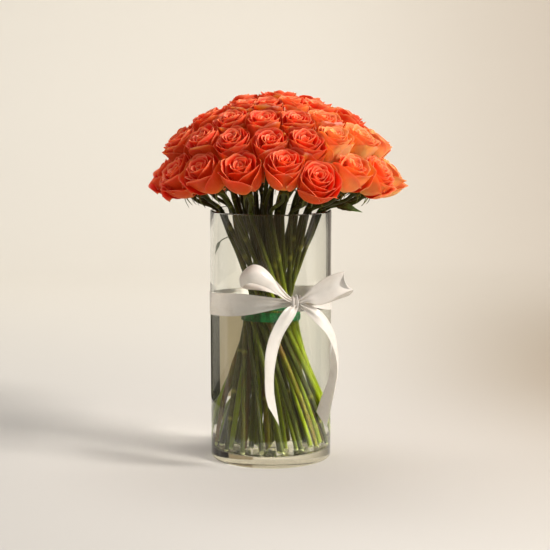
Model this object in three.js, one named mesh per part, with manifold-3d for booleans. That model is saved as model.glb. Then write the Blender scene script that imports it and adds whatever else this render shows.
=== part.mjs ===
// Fifty orange roses, tied by hand into a domed bouquet, standing in water in a clear glass cylinder
// vase that has a satin ribbon tied round it in a bow.
//
// Millimetres, +Z up. The origin is the centre of the vase's flat underside. -Y is the front, where
// the bow is. A turn is an angle in degrees from the front towards +X.
//
// The stems stand in five rings. Each runs straight from its foot to the tie and on to a shoulder
// above it, leaning round the axis as well as outwards, so the sheaf is a set of similar
// hyperboloids in which no two stems cross. From its shoulder a stem bends out to its bloom.
import * as THREE from "three";
import { mergeVertices } from "three/addons/utils/BufferGeometryUtils.js";
import Module from "manifold-3d";

const wasm = await Module();
wasm.setup();

// ---------------------------------------------------------------- driving dimensions

const GAP = 0.3; // clearance between pieces that touch

const VASE = { radius: 74, height: 305, wall: 3.5, floor: 13, bevel: 2.5, lip: 1, sides: 36 };
// Up to `gathered` each stem stands in a hole of its own, and above it one wide hole holds them all.
const WATER = { level: 190, gathered: 118, pool: 37, clearance: 0.45 };

const STEM = { radius: 3, waist: 2.75, neck: 2.6, sides: 5 };
const TIE = { z: 182, radius: 22.5, grip: 18 }; // the outer ring's radius where the stems are tied
const FOOT = { radius: 64.5, z: 15, spread: 4 }; // the outer ring's ends, cut to unlike lengths
const SHOULDER = { radius: 63, z: 302 }; // where the outer ring's stems begin to bend out
const TAPE = { low: 172, high: 192, radius: 26.5, thickness: 0.9, sides: 20 };

// The tops of the blooms lie on a dome, half an ellipsoid, a little to the right of the vase. A place
// on it has a turn and a lean from the top, in degrees. A bloom's own axis leans less than the dome.
const DOME = { x: 8, z: 255, radius: 169, rise: 195, edge: 58, follow: 0.82 };
const BULGE = { lean: 42, spread: 11, share: 0.048 }; // how the dome's left and right sides stand out
// The rings of roses from the middle out: how many, how far down the dome, and the roses that face
// the front, each as [turn, lean, the lean of its own axis].
const RINGS = [
  { count: 1, lean: 3, front: [] },
  { count: 6, lean: 16, front: [[-44, 19, 14], [-13, 17, 12], [24, 16, 12], [58, 20, 16]] },
  { count: 11, lean: 30, front: [[-40, 31, 26], [-11, 30, 24], [16, 31, 26], [41, 31, 25]] },
  {
    count: 15,
    lean: 43,
    front: [[-50, 43, 38], [-28, 42, 34], [-4, 42, 34], [17, 42, 33], [38, 41, 32], [60, 43, 36]],
  },
  {
    count: 17,
    lean: 57,
    front: [
      [-61, 57, 50], [-42, 55, 47], [-19, 53, 38], [4, 51, 36], [20, 58, 52], [42, 54, 40], [62, 57, 50],
    ],
  },
];
const SPACING = 64; // the distance within which the roses behind push each other apart
const SETTLING_ROUNDS = 60;

// One bloom, from the belly up over its guard petals and in over two whorls. Each ring has the
// radius and height of its petals' middles, how far their tips rise, how far one edge overlaps the
// next petal, and how far the ring is turned.
const BLOOM = { height: 48, waist: 0.65, petals: 5, sway: 0.05, squeeze: 0.66 };
const BLOOM_RINGS = [
  { r: 20, z: 9, rise: -1, step: 1.2, turn: 0 },
  { r: 27, z: 35, rise: 2.4, step: 2, turn: 8 },
  { r: 20, z: 31, rise: 0.8, step: 1, turn: 20 },
  { r: 17.5, z: 43, rise: 1.8, step: 1.8, turn: 40 },
  { r: 11.5, z: 39, rise: 0.5, step: 1, turn: 52 },
  { r: 8.5, z: 47, rise: 1, step: 1.4, turn: 72 },
];
const HEART_Z = 43;
// Across a petal: its overlapping edge, its middle with the tip, and the edge tucked under the next.
const PETAL_COLUMNS = [
  { across: 0.02, out: 1, up: -0.7 },
  { across: 0.42, out: 0.5, up: 1 },
  { across: 0.8, out: -0.5, up: 0.3 },
];

const HIP = { radius: 5.2, height: 7, neck: 8 };
const SEPAL = { width: 4.5, thickness: 1.2, reach: 11, drop: 18, shown: 0.75 }; // on the outer rings
const LEAF = { width: 19, thickness: 0.9, teeth: 4, fold: 2.2, droop: 0.12 };
// Each leaf's stem, by its turn in the outer ring; its root, from 0 at the tie through 1 at the
// shoulder to 2 at the neck; its tip; how far it is rolled about its length; and its size.
const LEAVES = [
  { turn: 78, up: 1.42, tip: [111, -24, 315], roll: -50, size: 1 },
  { turn: -80, up: 0.68, tip: [-58, -34, 228], roll: 60, size: 0.6 },
];

const RIBBON = { width: 28, thickness: 0.8, z: 193, slope: 7, sides: 36 };
const KNOT = { turn: 22.5, z: 201.5, gather: 9, reach: 34, along: 8.6, out: 4.6, up: 8, sides: 8 };
// The bow's four strands, as the lines of the ribbon's two edges from the knot out. A loop comes
// back to the knot behind itself, and a tail ends in a slanting cut.
const LOOP_LEFT = {
  upper: [
    [27, -75, 206], [19, -81, 210], [10, -87, 220], [2, -90, 235], [-9, -92, 246], [-20, -91, 249],
    [-28, -84, 243], [-20, -80, 240], [-5, -79, 236], [8, -78, 226], [18, -77, 214], [27, -75, 205],
  ],
  lower: [
    [28, -76, 200], [18, -82, 205], [8, -90, 213], [-2, -95, 221], [-13, -98, 226], [-24, -98, 228],
    [-34, -93, 222], [-27, -86, 219], [-10, -84, 217], [2, -82, 214], [15, -79, 208], [28, -74, 200],
  ],
};
const LOOP_RIGHT = {
  upper: [
    [33, -76, 206], [44, -82, 217], [54, -85, 226], [66, -86, 234], [77, -84, 238], [86, -78, 239],
    [80, -73, 236], [67, -72, 230], [55, -72, 222], [44, -73, 212], [34, -73, 204],
  ],
  lower: [
    [34, -77, 200], [45, -82, 202], [57, -84, 200], [70, -84, 205], [83, -82, 212], [97, -76, 217],
    [93, -71, 210], [78, -70, 204], [63, -70, 199], [48, -72, 198], [35, -73, 199],
  ],
};
const TAIL_LEFT = {
  left: [
    [28, -76, 200], [17, -86, 196], [8, -91, 184], [1, -96, 170], [-4, -100, 155], [-7, -103, 137],
    [-7, -103, 117], [-6, -102, 99], [-3, -100, 82],
  ],
  right: [
    [32, -75, 198], [29, -82, 188], [23, -84, 178], [15, -81, 164], [9, -79, 148], [5, -79, 131],
    [3, -79, 112], [4, -79, 93], [10, -83, 55],
  ],
};
const TAIL_RIGHT = {
  left: [
    [33, -75, 198], [44, -84, 188], [54, -87, 178], [65, -87, 167], [72, -86, 153], [77, -83, 134],
    [78, -83, 117], [76, -83, 101], [72, -82, 80], [66, -80, 52],
  ],
  right: [
    [35, -75, 202], [55, -80, 195], [65, -73, 185], [71, -66, 173], [73, -61, 158], [72, -58, 138],
    [71, -56, 120], [68, -56, 104], [62, -57, 89], [55, -60, 67],
  ],
};

// ---------------------------------------------------------------- colours

const colour = (hex, roughness, extra = {}) =>
  new THREE.MeshStandardMaterial({ color: hex, roughness, metalness: 0, ...extra });
const GLASS = colour(0xe8f0ee, 0.03, { transparent: true, opacity: 0.3 });
const CLEAR_WATER = colour(0xdfe9e4, 0.02, { transparent: true, opacity: 0.3 });
const STEM_GREEN = colour(0x4d6a26, 0.5);
const TAPE_GREEN = colour(0x14602f, 0.45);
const SATIN = colour(0xeee8e0, 0.4);
const PETALS = [0xe2481f, 0xe8552a, 0xd93c1c, 0xee6a2e].map((hex) => colour(hex, 0.55));

// ---------------------------------------------------------------- helpers

const UP = new THREE.Vector3(0, 0, 1);
const { degToRad: rad, radToDeg: deg, lerp } = THREE.MathUtils;
const at = (turn, radius, z) =>
  new THREE.Vector3(radius * Math.sin(rad(turn)), -radius * Math.cos(rad(turn)), z);
const from = (start, ...moves) =>
  moves.reduce((point, [direction, distance]) => point.addScaledVector(direction, distance), start.clone());

// A repeatable draw from -1 to 1 for one feature of one rose.
function draw(rose, feature) {
  const s = Math.sin(rose * 12.9898 + feature * 78.233) * 43758.5453;
  return 2 * (s - Math.floor(s)) - 1;
}

// A closed body from points and triangles, turned to face out.
function body({ points, faces }) {
  const corner = (i) => points[faces[i]];
  let volume = 0;
  for (let i = 0; i < faces.length; i += 3) {
    volume += corner(i).dot(corner(i + 1).clone().cross(corner(i + 2)));
  }
  return new THREE.BufferGeometry()
    .setFromPoints(points)
    .setIndex(volume > 0 ? faces : faces.toReversed());
}

// The shell of rings of as many points each, joined in order. Each end is a given point, or else flat.
function loft(rings, start = null, end = null) {
  const sides = rings[0].length;
  const points = rings.flat();
  const faces = [];
  for (let k = 0; k + 1 < rings.length; k++) {
    for (let i = 0; i < sides; i++) {
      const a = k * sides + i;
      const b = k * sides + ((i + 1) % sides);
      faces.push(a, b, b + sides, a, b + sides, a + sides);
    }
  }
  const close = (first, tip, flip) => {
    const fan = [];
    if (tip) {
      points.push(tip);
      for (let i = 0; i < sides; i++) fan.push(points.length - 1, first + ((i + 1) % sides), first + i);
    } else {
      for (let i = 1; i + 1 < sides; i++) fan.push(first, first + i + 1, first + i);
    }
    faces.push(...(flip ? fan.toReversed() : fan));
  };
  close(0, start, false);
  close((rings.length - 1) * sides, end, true);
  return { points, faces };
}

// Draws a facet of a shell, whose two triangles start at `first`, out through sections to a tip.
function drawOut({ points, faces }, first, corners, sections, tip) {
  const made = [];
  let loop = corners;
  const wall = (section) => {
    const start = points.push(...section) - section.length;
    const next = loop.map((_, i) => start + (i % section.length));
    loop.forEach((corner, i) => {
      const j = (i + 1) % loop.length;
      made.push(corner, loop[j], next[j]);
      if (next[i] !== next[j]) made.push(corner, next[j], next[i]);
    });
    loop = next;
  };
  sections.forEach(wall);
  wall([tip]);
  faces.splice(first, 6, ...made);
}

// A body turned on the Z axis from [radius, z] points that start and end on the axis.
const turned = (profile, sides) =>
  new THREE.LatheGeometry(profile.map(([r, z]) => new THREE.Vector2(r, z)), sides).rotateX(Math.PI / 2);

// A band round the Z axis: sections(turn) gives its section's points at each of so many sides.
function band(section, sides) {
  const rings = Array.from({ length: sides }, (_, i) => section((360 * i) / sides));
  const corners = rings[0].length;
  const faces = [];
  for (let k = 0; k < sides; k++) {
    for (let i = 0; i < corners; i++) {
      const next = (i + 1) % corners;
      const [a, b] = [k * corners + i, k * corners + next];
      const [c, d] = [((k + 1) % sides) * corners + next, ((k + 1) % sides) * corners + i];
      faces.push(a, b, c, a, c, d);
    }
  }
  return body({ points: rings.flat(), faces });
}

// The direction at a turn about an axis.
const around = (axis, turn) =>
  at(turn, 1, 0).applyQuaternion(new THREE.Quaternion().setFromUnitVectors(UP, axis));

// The shell of a tube through stations of [centre, radius, axis], each section square to its axis.
const tube = (stations) =>
  loft(
    stations.map(([centre, radius, axis]) =>
      Array.from({ length: STEM.sides }, (_, i) =>
        from(centre, [around(axis, (360 * i) / STEM.sides), radius]),
      ),
    ),
  );

// A geometry as a solid that can be joined and cut.
function solid(source) {
  const bare = source.clone();
  bare.deleteAttribute("normal");
  bare.deleteAttribute("uv");
  const merged = mergeVertices(bare, 1e-4);
  return new wasm.Manifold(
    new wasm.Mesh({
      numProp: 3,
      vertProperties: new Float32Array(merged.attributes.position.array),
      triVerts: new Uint32Array(merged.index.array),
    }),
  );
}

const joined = (geometries) => wasm.Manifold.union(geometries.map(solid));

// The largest body of a solid, as a geometry: loose scraps left by a cut are dropped.
function largest(made) {
  const [main] = made.decompose().sort((a, b) => b.volume() - a.volume());
  const { vertProperties, triVerts } = main.getMesh();
  return new THREE.BufferGeometry()
    .setAttribute("position", new THREE.BufferAttribute(vertProperties, 3))
    .setIndex(new THREE.BufferAttribute(triVerts, 1));
}

// ---------------------------------------------------------------- where the roses stand

function onDome({ turn, lean }) {
  const near = Math.exp(-(((lean - BULGE.lean) / BULGE.spread) ** 2));
  const bulge = 1 + BULGE.share * Math.sin(rad(turn)) ** 2 * near;
  const [out, up] = [DOME.radius * Math.sin(rad(lean)), DOME.rise * Math.cos(rad(lean))];
  const top = at(turn, out * bulge, DOME.z + up * bulge);
  top.x += DOME.x;
  return top;
}

// The rest of a ring fills the arc that its front roses leave, evenly.
function ringPlaces({ count, lean, front }) {
  const placed = front.map(([turn, down, axisLean]) => ({ turn, lean: down, axisLean }));
  const start = front.length ? front.at(-1)[0] : 0;
  const arc = 360 - (front.length ? start - front[0][0] : 0);
  const rest = count - front.length;
  for (let i = 1; i <= rest; i++) {
    const turn = start + (arc * i) / (rest + 1);
    placed.push({ turn: turn > 180 ? turn - 360 : turn, lean, free: true });
  }
  return placed;
}

// The roses behind push each other apart, over the dome, until they stand evenly.
function settle(places) {
  for (let round = 0; round < SETTLING_ROUNDS; round++) {
    const tops = places.map(onDome);
    places.forEach((place, i) => {
      if (!place.free) return;
      const push = new THREE.Vector3();
      tops.forEach((other, j) => {
        const away = tops[i].clone().sub(other);
        const short = SPACING - away.length();
        if (j !== i && short > 0) push.addScaledVector(away.normalize(), short / 3);
      });
      const moved = tops[i].clone().add(push);
      const [x, y] = [(moved.x - DOME.x) / DOME.radius, moved.y / DOME.radius];
      place.turn = deg(Math.atan2(x, -y));
      place.lean = Math.min(DOME.edge, deg(Math.atan2(Math.hypot(x, y), (moved.z - DOME.z) / DOME.rise)));
    });
  }
}

// The roses from the middle of the dome out, each with its bloom's axis, top and base, and with the
// slot that its stem has in the sheaf: evenly spaced round a ring, in the order of the blooms.
function placeRoses() {
  const places = RINGS.flatMap(ringPlaces);
  settle(places);
  places.sort((a, b) => a.lean - b.lean);
  const roses = [];
  RINGS.forEach(({ count }, ring) => {
    const members = places.slice(roses.length, roses.length + count).sort((a, b) => a.turn - b.turn);
    const phase = members.reduce((sum, { turn }, i) => sum + turn - (360 * i) / count, 0) / count;
    members.forEach((place, i) => {
      const n = roses.length;
      const { turn, lean, axisLean = DOME.follow * lean } = place;
      const size = 1 + BLOOM.sway * draw(n, 3);
      const axis = at(turn, Math.sin(rad(axisLean)), Math.cos(rad(axisLean)));
      const top = onDome(place);
      const base = from(top, [axis, -BLOOM.height * size]);
      const middle = from(base, [axis, BLOOM.waist * BLOOM.height]);
      roses.push({
        n, turn, lean, size, axis, top, base, middle,
        slot: phase + (360 * i) / count,
        share: ring / (RINGS.length - 1),
      });
    });
  });
  return roses;
}

const roses = placeRoses();

// ---------------------------------------------------------------- blooms

// How far a bloom may reach towards a neighbour: the direction, square to the line midway between
// the two, and the room on its own side.
function roomTowards(rose, other) {
  const low = rose.base.clone().add(other.base).divideScalar(2);
  const along = rose.middle.clone().add(other.middle).divideScalar(2).sub(low).normalize();
  const across = other.middle.clone().sub(rose.middle);
  const normal = from(across, [along, -across.dot(along)]).normalize();
  return { normal, room: low.sub(rose.middle).dot(normal) - GAP / 2 };
}

// Blooms press on each other: a point that reaches towards a neighbour is eased back to its own side.
function squeezed(point, rose, neighbours) {
  const reach = (normal) => point.clone().sub(rose.middle).dot(normal);
  for (const { normal, room } of neighbours) {
    const free = BLOOM.squeeze * room;
    const over = reach(normal) - free;
    if (over > 0) point.addScaledVector(normal, (room - free) * Math.tanh(over / (room - free)) - over);
  }
  for (let round = 0; round < 4; round++) {
    for (const { normal, room } of neighbours) {
      point.addScaledVector(normal, -Math.max(0, reach(normal) - room));
    }
  }
  return point;
}

function bloom(rose) {
  const neighbours = roses
    .filter((other) => other !== rose && other.middle.distanceTo(rose.middle) < 1.5 * SPACING)
    .map((other) => roomTowards(rose, other));
  const stand = new THREE.Quaternion().setFromUnitVectors(UP, rose.axis);
  const place = (point) =>
    squeezed(point.multiplyScalar(rose.size).applyQuaternion(stand).add(rose.base), rose, neighbours);
  const facing = 90 * draw(rose.n, 5);
  const rings = BLOOM_RINGS.map(({ r, z, rise, step, turn }, whorl) =>
    Array.from({ length: BLOOM.petals }, (_, petal) => {
      const stray = draw(rose.n, 10 + BLOOM.petals * whorl + petal);
      return PETAL_COLUMNS.map(({ across, out, up }) =>
        place(
          at(
            facing + turn + (360 * (petal + across)) / BLOOM.petals,
            r + step * (out + 0.4 * stray),
            z + rise * (up + 0.35 * stray),
          ),
        ),
      );
    }).flat(),
  );
  return body(loft(rings, place(new THREE.Vector3()), place(new THREE.Vector3(0, 0, HEART_Z))));
}

// ---------------------------------------------------------------- stems and leaves

const TWIST_UP = deg(Math.acos(TIE.radius / SHOULDER.radius));
const TWIST_DOWN = deg(Math.acos(TIE.radius / FOOT.radius));

// A stem's line: its foot, the tie and its shoulder, straight from each to the next, and then the
// bend from the shoulder to the neck under the bloom.
function stemLine({ n, slot, share, base, axis }) {
  const foot = at(
    slot + TWIST_UP + TWIST_DOWN, FOOT.radius * share, FOOT.z + FOOT.spread * Math.abs(draw(n, 6)),
  );
  const waist = at(slot + TWIST_UP, TIE.radius * share, TIE.z);
  const shoulder = at(slot, SHOULDER.radius * share, SHOULDER.z);
  const neck = from(base, [axis, -HIP.height - HIP.neck]);
  const rise = shoulder.clone().sub(waist).normalize();
  const reach = neck.distanceTo(shoulder);
  const bend = new THREE.CubicBezierCurve3(
    shoulder, from(shoulder, [rise, 0.33 * reach]), from(neck, [axis, -0.25 * reach]), neck,
  );
  return { foot, waist, shoulder, rise, bend, neck };
}

// A stem swells into the hip below its bloom. On the outer rings, the facets between the hip's
// middle and its top are drawn out into sepals.
function stem(rose) {
  const { foot, waist, shoulder, rise, bend, neck } = stemLine(rose);
  const { base, axis } = rose;
  const bends = rose.share === 1 ? [0.3, 0.65] : [0.5];
  const stations = [
    [foot, STEM.radius, UP],
    [waist, STEM.waist, UP],
    [shoulder, STEM.radius, rise],
    ...bends.map((t) => [bend.getPoint(t), STEM.neck, bend.getTangent(t)]),
    [neck, STEM.neck, axis],
    [from(base, [axis, -0.5 * HIP.height]), HIP.radius, axis],
    [from(base, [axis, -GAP]), 0.7 * HIP.radius, axis],
  ];
  const shell = tube(stations);
  if (rose.share >= SEPAL.shown) {
    const ring = (stations.length - 2) * STEM.sides;
    for (let i = STEM.sides - 1; i >= 0; i--) {
      const [left, right] = [ring + i, ring + ((i + 1) % STEM.sides)];
      const corners = [left, right, right + STEM.sides, left + STEM.sides];
      const { bend: knee, tip } = sepal(rose, i);
      drawOut(shell, 6 * (ring + i), corners, rose.share === 1 ? [knee] : [], tip);
    }
  }
  return body(shell);
}

// A sepal, bent out from under the bloom and down beside the stem: the section at its bend and its tip.
function sepal({ n, axis, base }, i) {
  const side = around(axis, (360 * (i + 0.5)) / STEM.sides);
  const broad = axis.clone().cross(side);
  const face = axis.clone().add(side).normalize();
  const centre = from(base, [axis, -2.5], [side, 0.85 * SEPAL.reach]);
  const bend = [[-1, -1], [1, -1], [1, 1], [-1, 1]].map(([across, out]) =>
    from(centre, [broad, (across * SEPAL.width) / 2], [face, (out * SEPAL.thickness) / 2]),
  );
  const drop = SEPAL.drop * (1 + 0.3 * draw(n, 40 + i));
  return { bend, tip: from(base, [axis, -drop], [side, SEPAL.reach], [broad, 2 * draw(n, 30 + i)]) };
}

// A toothed leaf, folded along its midrib, which droops towards its tip.
function leaf({ turn, up: place, tip, roll, size }) {
  const outer = roses.filter(({ share }) => share === 1);
  const [nearest] = outer.sort((a, b) => Math.abs(a.slot - turn) - Math.abs(b.slot - turn));
  const { waist, shoulder, bend } = stemLine(nearest);
  const start = place < 1 ? waist.clone().lerp(shoulder, place) : bend.getPoint(place - 1);
  const along = new THREE.Vector3(...tip).sub(start);
  const length = along.length();
  along.normalize();
  const across = along.clone().cross(UP).normalize().applyAxisAngle(along, rad(roll));
  const up = across.clone().cross(along);
  const steps = 2 * LEAF.teeth;
  const rows = Array.from({ length: steps + 1 }, (_, k) => {
    const t = k / steps;
    const tooth = k % 2 ? 1 : 0.84;
    const half = 0.5 * size * LEAF.width * tooth * Math.sin(Math.PI * (0.06 + 0.9 * t ** 0.8));
    const middle = from(start, [along, t * length], [up, -LEAF.droop * length * t * t]);
    const fold = Math.min(half, LEAF.fold * size);
    const points = [from(middle, [across, -half]), from(middle, [up, -fold]), from(middle, [across, half])];
    const lower = points.map((point) => from(point, [up, -LEAF.thickness]));
    return [...points, ...lower.reverse()];
  });
  return body(loft(rows));
}

// The stems, hips, sepals and leaves are one green body, in which the tie presses the stems together.
function stemBundle() {
  const inner = TAPE.radius - 1.5 * GAP;
  const grip = turned(
    [
      [0, TIE.z - TIE.grip / 2], [inner, TIE.z - TIE.grip / 2],
      [inner, TIE.z + TIE.grip / 2], [0, TIE.z + TIE.grip / 2],
    ],
    TAPE.sides,
  );
  return largest(joined([grip, ...roses.map(stem), ...LEAVES.map(leaf)]));
}

// ---------------------------------------------------------------- vase, water and tape

const INSIDE = VASE.radius - VASE.wall;

function vase() {
  const { radius, height, floor, bevel, lip, sides } = VASE;
  return turned(
    [
      [0, 0], [radius - bevel, 0], [radius, bevel], [radius, height - lip], [radius - lip, height],
      [INSIDE + lip, height], [INSIDE, height - lip], [INSIDE, floor + bevel], [INSIDE - bevel, floor],
      [0, floor],
    ],
    sides,
  );
}

// The water fills the vase round the stems, each of which stands in a plain hole.
function water() {
  const [bottom, rim] = [VASE.floor + GAP, INSIDE - GAP];
  const full = turned(
    [[0, bottom], [rim - VASE.bevel, bottom], [rim, bottom + VASE.bevel], [rim, WATER.level], [0, WATER.level]],
    VASE.sides,
  );
  const over = WATER.level + 1;
  const pool = turned(
    [[0, WATER.gathered], [WATER.pool, WATER.gathered], [WATER.pool, over], [0, over]],
    VASE.sides,
  );
  const hole = (rose) => {
    const { foot, waist } = stemLine(rose);
    const depth = foot.z - GAP;
    const straight = waist.clone().sub(foot).divideScalar(waist.z - foot.z);
    const start = from(foot, [straight, depth - foot.z]);
    return body(
      tube([[start, STEM.radius + WATER.clearance, UP], [waist, STEM.waist + WATER.clearance, UP]]),
    );
  };
  return largest(solid(full).subtract(joined([pool, ...roses.map(hole)])));
}

const tieTape = () =>
  band(
    (turn) =>
      [[0, TAPE.low], [1, TAPE.low], [1, TAPE.high], [0, TAPE.high]].map(([out, z]) =>
        at(turn, TAPE.radius + out * TAPE.thickness, z),
      ),
    TAPE.sides,
  );

// ---------------------------------------------------------------- ribbon

// The turn of ribbon round the vase, higher on the side of the knot and gathered towards it.
function ribbonBand() {
  const inner = VASE.radius + GAP;
  return band((away) => {
    const near = Math.exp(-((Math.min(away, 360 - away) / KNOT.reach) ** 2));
    const half = lerp(RIBBON.width, KNOT.gather, near) / 2;
    const middle = RIBBON.z + RIBBON.slope * Math.cos(rad(away)) + near;
    return [[0, -half], [RIBBON.thickness, -half], [RIBBON.thickness, half], [0, half]].map(([out, up]) =>
      at(KNOT.turn + away, inner + out, middle + up),
    );
  }, RIBBON.sides);
}

// A strand of ribbon between the lines of its two edges.
function strand(edges, sections) {
  const [one, other] = Object.values(edges).map(
    (line) => new THREE.CatmullRomCurve3(line.map((point) => new THREE.Vector3(...point)), false, "catmullrom"),
  );
  const rings = Array.from({ length: sections + 1 }, (_, k) => {
    const t = k / sections;
    const corners = [one.getPoint(t), other.getPoint(t)];
    const along = one.getTangent(t).add(other.getTangent(t));
    const face = along.cross(corners[1].clone().sub(corners[0])).normalize();
    return [[0, -1], [1, -1], [1, 1], [0, 1]].map(([edge, out]) =>
      from(corners[edge], [face, (out * RIBBON.thickness) / 2]),
    );
  });
  return body(loft(rings));
}

function ribbonBow() {
  const knot = new THREE.SphereGeometry(1, KNOT.sides, KNOT.sides - 2)
    .scale(KNOT.along, KNOT.out, KNOT.up)
    .rotateZ(rad(KNOT.turn))
    .translate(...at(KNOT.turn, VASE.radius + 2 * GAP + RIBBON.thickness + KNOT.out, KNOT.z).toArray());
  return largest(
    joined([
      knot, strand(LOOP_LEFT, 15), strand(LOOP_RIGHT, 14), strand(TAIL_LEFT, 9), strand(TAIL_RIGHT, 9),
    ]),
  );
}

// ---------------------------------------------------------------- the object

const bouquet = new THREE.Group();

function add(name, shape, material) {
  const mesh = new THREE.Mesh(shape, material);
  mesh.name = name;
  bouquet.add(mesh);
}

add("vase", vase(), GLASS);
add("water", water(), CLEAR_WATER);
add("stem_bundle", stemBundle(), STEM_GREEN);
add("tie_tape", tieTape(), TAPE_GREEN);
add("ribbon_band", ribbonBand(), SATIN);
add("ribbon_bow", ribbonBow(), SATIN);
for (const rose of roses) {
  const number = String(rose.n + 1).padStart(2, "0");
  add(`rose_${number}`, bloom(rose), PETALS[rose.n % PETALS.length]);
}

export default bouquet;
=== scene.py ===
"""Fifty orange roses, tied by hand into a domed bouquet, in water in a clear glass cylinder vase.

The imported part's frame is used throughout: the origin is the centre of the vase's underside, +Z is
up and the bow faces -Y. Shapes are worked out in millimetres, as whole numpy arrays, and go into the
meshes in metres. A turn is an angle in degrees from the front towards +X.
"""

from __future__ import annotations

import logging
import math
import sys
from dataclasses import dataclass, field
from enum import Enum, IntEnum
from typing import Any, Mapping, NamedTuple, Sequence, Union

import bpy
import numpy as np
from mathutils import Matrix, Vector

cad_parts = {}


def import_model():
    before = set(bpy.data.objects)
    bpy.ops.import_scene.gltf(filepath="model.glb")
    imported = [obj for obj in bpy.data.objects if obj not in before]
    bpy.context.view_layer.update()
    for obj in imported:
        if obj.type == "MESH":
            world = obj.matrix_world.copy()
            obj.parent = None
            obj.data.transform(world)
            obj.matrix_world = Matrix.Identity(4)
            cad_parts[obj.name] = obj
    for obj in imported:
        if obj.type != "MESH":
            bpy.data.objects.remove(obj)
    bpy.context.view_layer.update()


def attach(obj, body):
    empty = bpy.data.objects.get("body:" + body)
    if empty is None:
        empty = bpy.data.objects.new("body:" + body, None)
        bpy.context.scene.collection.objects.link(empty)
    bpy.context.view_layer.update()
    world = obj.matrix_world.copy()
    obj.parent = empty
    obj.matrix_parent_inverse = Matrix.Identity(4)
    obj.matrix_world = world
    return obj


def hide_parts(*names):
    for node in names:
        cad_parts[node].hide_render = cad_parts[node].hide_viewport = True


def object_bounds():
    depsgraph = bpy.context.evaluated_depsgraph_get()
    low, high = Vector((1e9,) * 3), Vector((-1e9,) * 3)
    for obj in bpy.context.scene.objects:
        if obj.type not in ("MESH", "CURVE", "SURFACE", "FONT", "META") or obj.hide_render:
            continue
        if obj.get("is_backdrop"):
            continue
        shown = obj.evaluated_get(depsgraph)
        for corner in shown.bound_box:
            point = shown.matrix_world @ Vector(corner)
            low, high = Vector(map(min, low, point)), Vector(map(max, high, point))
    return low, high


LOG = logging.getLogger("roses")
MM = 0.001
BODY = "root"
GOLDEN_ANGLE = 137.508
SHARP_EDGE = math.radians(45)
Array = np.ndarray


# ---------------------------------------------------------------- maths


def unit(vectors: Array) -> Array:
    """Vectors scaled to a length of 1."""
    return vectors / np.maximum(np.linalg.norm(vectors, axis=-1, keepdims=True), 1e-9)


def at(turn: Any, radius: Any, z: Any) -> Array:
    """Points at turns round the Z axis: x is radius times sin(turn), and y is minus radius times cos(turn).

    Args:
        turn: Angles in degrees from the front towards +X.
        radius: Distances from the axis.
        z: Heights.

    Returns:
        The points, with a last axis of three.
    """
    angle = np.radians(turn)
    return np.stack(np.broadcast_arrays(radius * np.sin(angle), -radius * np.cos(angle), z), axis=-1)


def standing(axis: Array) -> Array:
    """The rotation that takes +Z to a unit axis by the shortest way, as a 3 by 3 matrix.

    Args:
        axis: The unit vector that +Z goes to.

    Returns:
        I + K + K squared / (1 + z), where K is the cross product matrix of +Z and the axis.
    """
    x, y, z = axis
    cross = np.array([[0, 0, x], [0, 0, y], [-x, -y, 0]])
    return np.eye(3) + cross + cross @ cross / (1 + z)


def spun(turn: float) -> Array:
    """The rotation by an angle in degrees about Z, as a 3 by 3 matrix."""
    c, s = math.cos(math.radians(turn)), math.sin(math.radians(turn))
    return np.array([[c, -s, 0], [s, c, 0], [0, 0, 1]])


class Feature(IntEnum):
    """What a single draw decides."""

    SIZE = 3
    SPIN = 5
    FOOT = 6
    SEPAL_ASIDE = 30
    SEPAL_DROP = 40
    HABIT = 60
    TONE = 61


class Draws(IntEnum):
    """What a series of random draws shapes. The values set the series apart."""

    BLOOM = 1000
    STEM = 2000
    THORNS = 3000
    SEPALS = 4000

    def of(self, rose: int) -> np.random.Generator:
        """The series for one rose."""
        return np.random.default_rng(self.value + rose)


def draw(rose: int, feature: int) -> float:
    """A repeatable draw from -1 to 1 for one feature of one rose: the fraction of a large sine."""
    s = math.sin(rose * 12.9898 + feature * 78.233) * 43758.5453
    return 2 * (s - math.floor(s)) - 1


def smooth(x: Array, low: float = 0.0, high: float = 1.0) -> Array:
    """Rises from 0 at low to 1 at high as 3t squared minus 2t cubed."""
    t = np.clip((x - low) / (high - low), 0, 1)
    return t * t * (3 - 2 * t)


def catmull_rom(points: Sequence[Sequence[float]], t: Array) -> Array:
    """A uniform Catmull-Rom curve: a cubic between neighbours whose slopes are half the chords across them.

    Args:
        points: The points that the curve passes through.
        t: Places along it, from 0 to 1.

    Returns:
        The curve's points.
    """
    p = np.asarray(points, float)
    p = np.vstack([2 * p[0] - p[1], p, 2 * p[-1] - p[-2]])
    place = np.clip(t, 0, 1) * (len(points) - 1)
    i = np.minimum(place.astype(int), len(points) - 2)
    f = (place - i)[:, None]
    before, start, end, after = p[i], p[i + 1], p[i + 2], p[i + 3]
    slope, out = (end - before) / 2, (after - start) / 2
    square = 3 * (end - start) - 2 * slope - out
    cube = 2 * (start - end) + slope + out
    return start + slope * f + square * f**2 + cube * f**3


def bezier(controls: Sequence[Array], t: Array) -> Array:
    """A Bezier curve of any order: the controls weighted by the Bernstein polynomials of t."""
    order = len(controls) - 1
    weights = [math.comb(order, i) * t**i * (1 - t) ** (order - i) for i in range(order + 1)]
    return sum(w[:, None] * np.asarray(c) for w, c in zip(weights, controls))


# ---------------------------------------------------------------- meshes


def placed(name: str, data: Any) -> bpy.types.Object:
    """A new object of a mesh, light or camera, put into the scene."""
    made = bpy.data.objects.new(name, data)
    bpy.context.scene.collection.objects.link(made)
    return made


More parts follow.
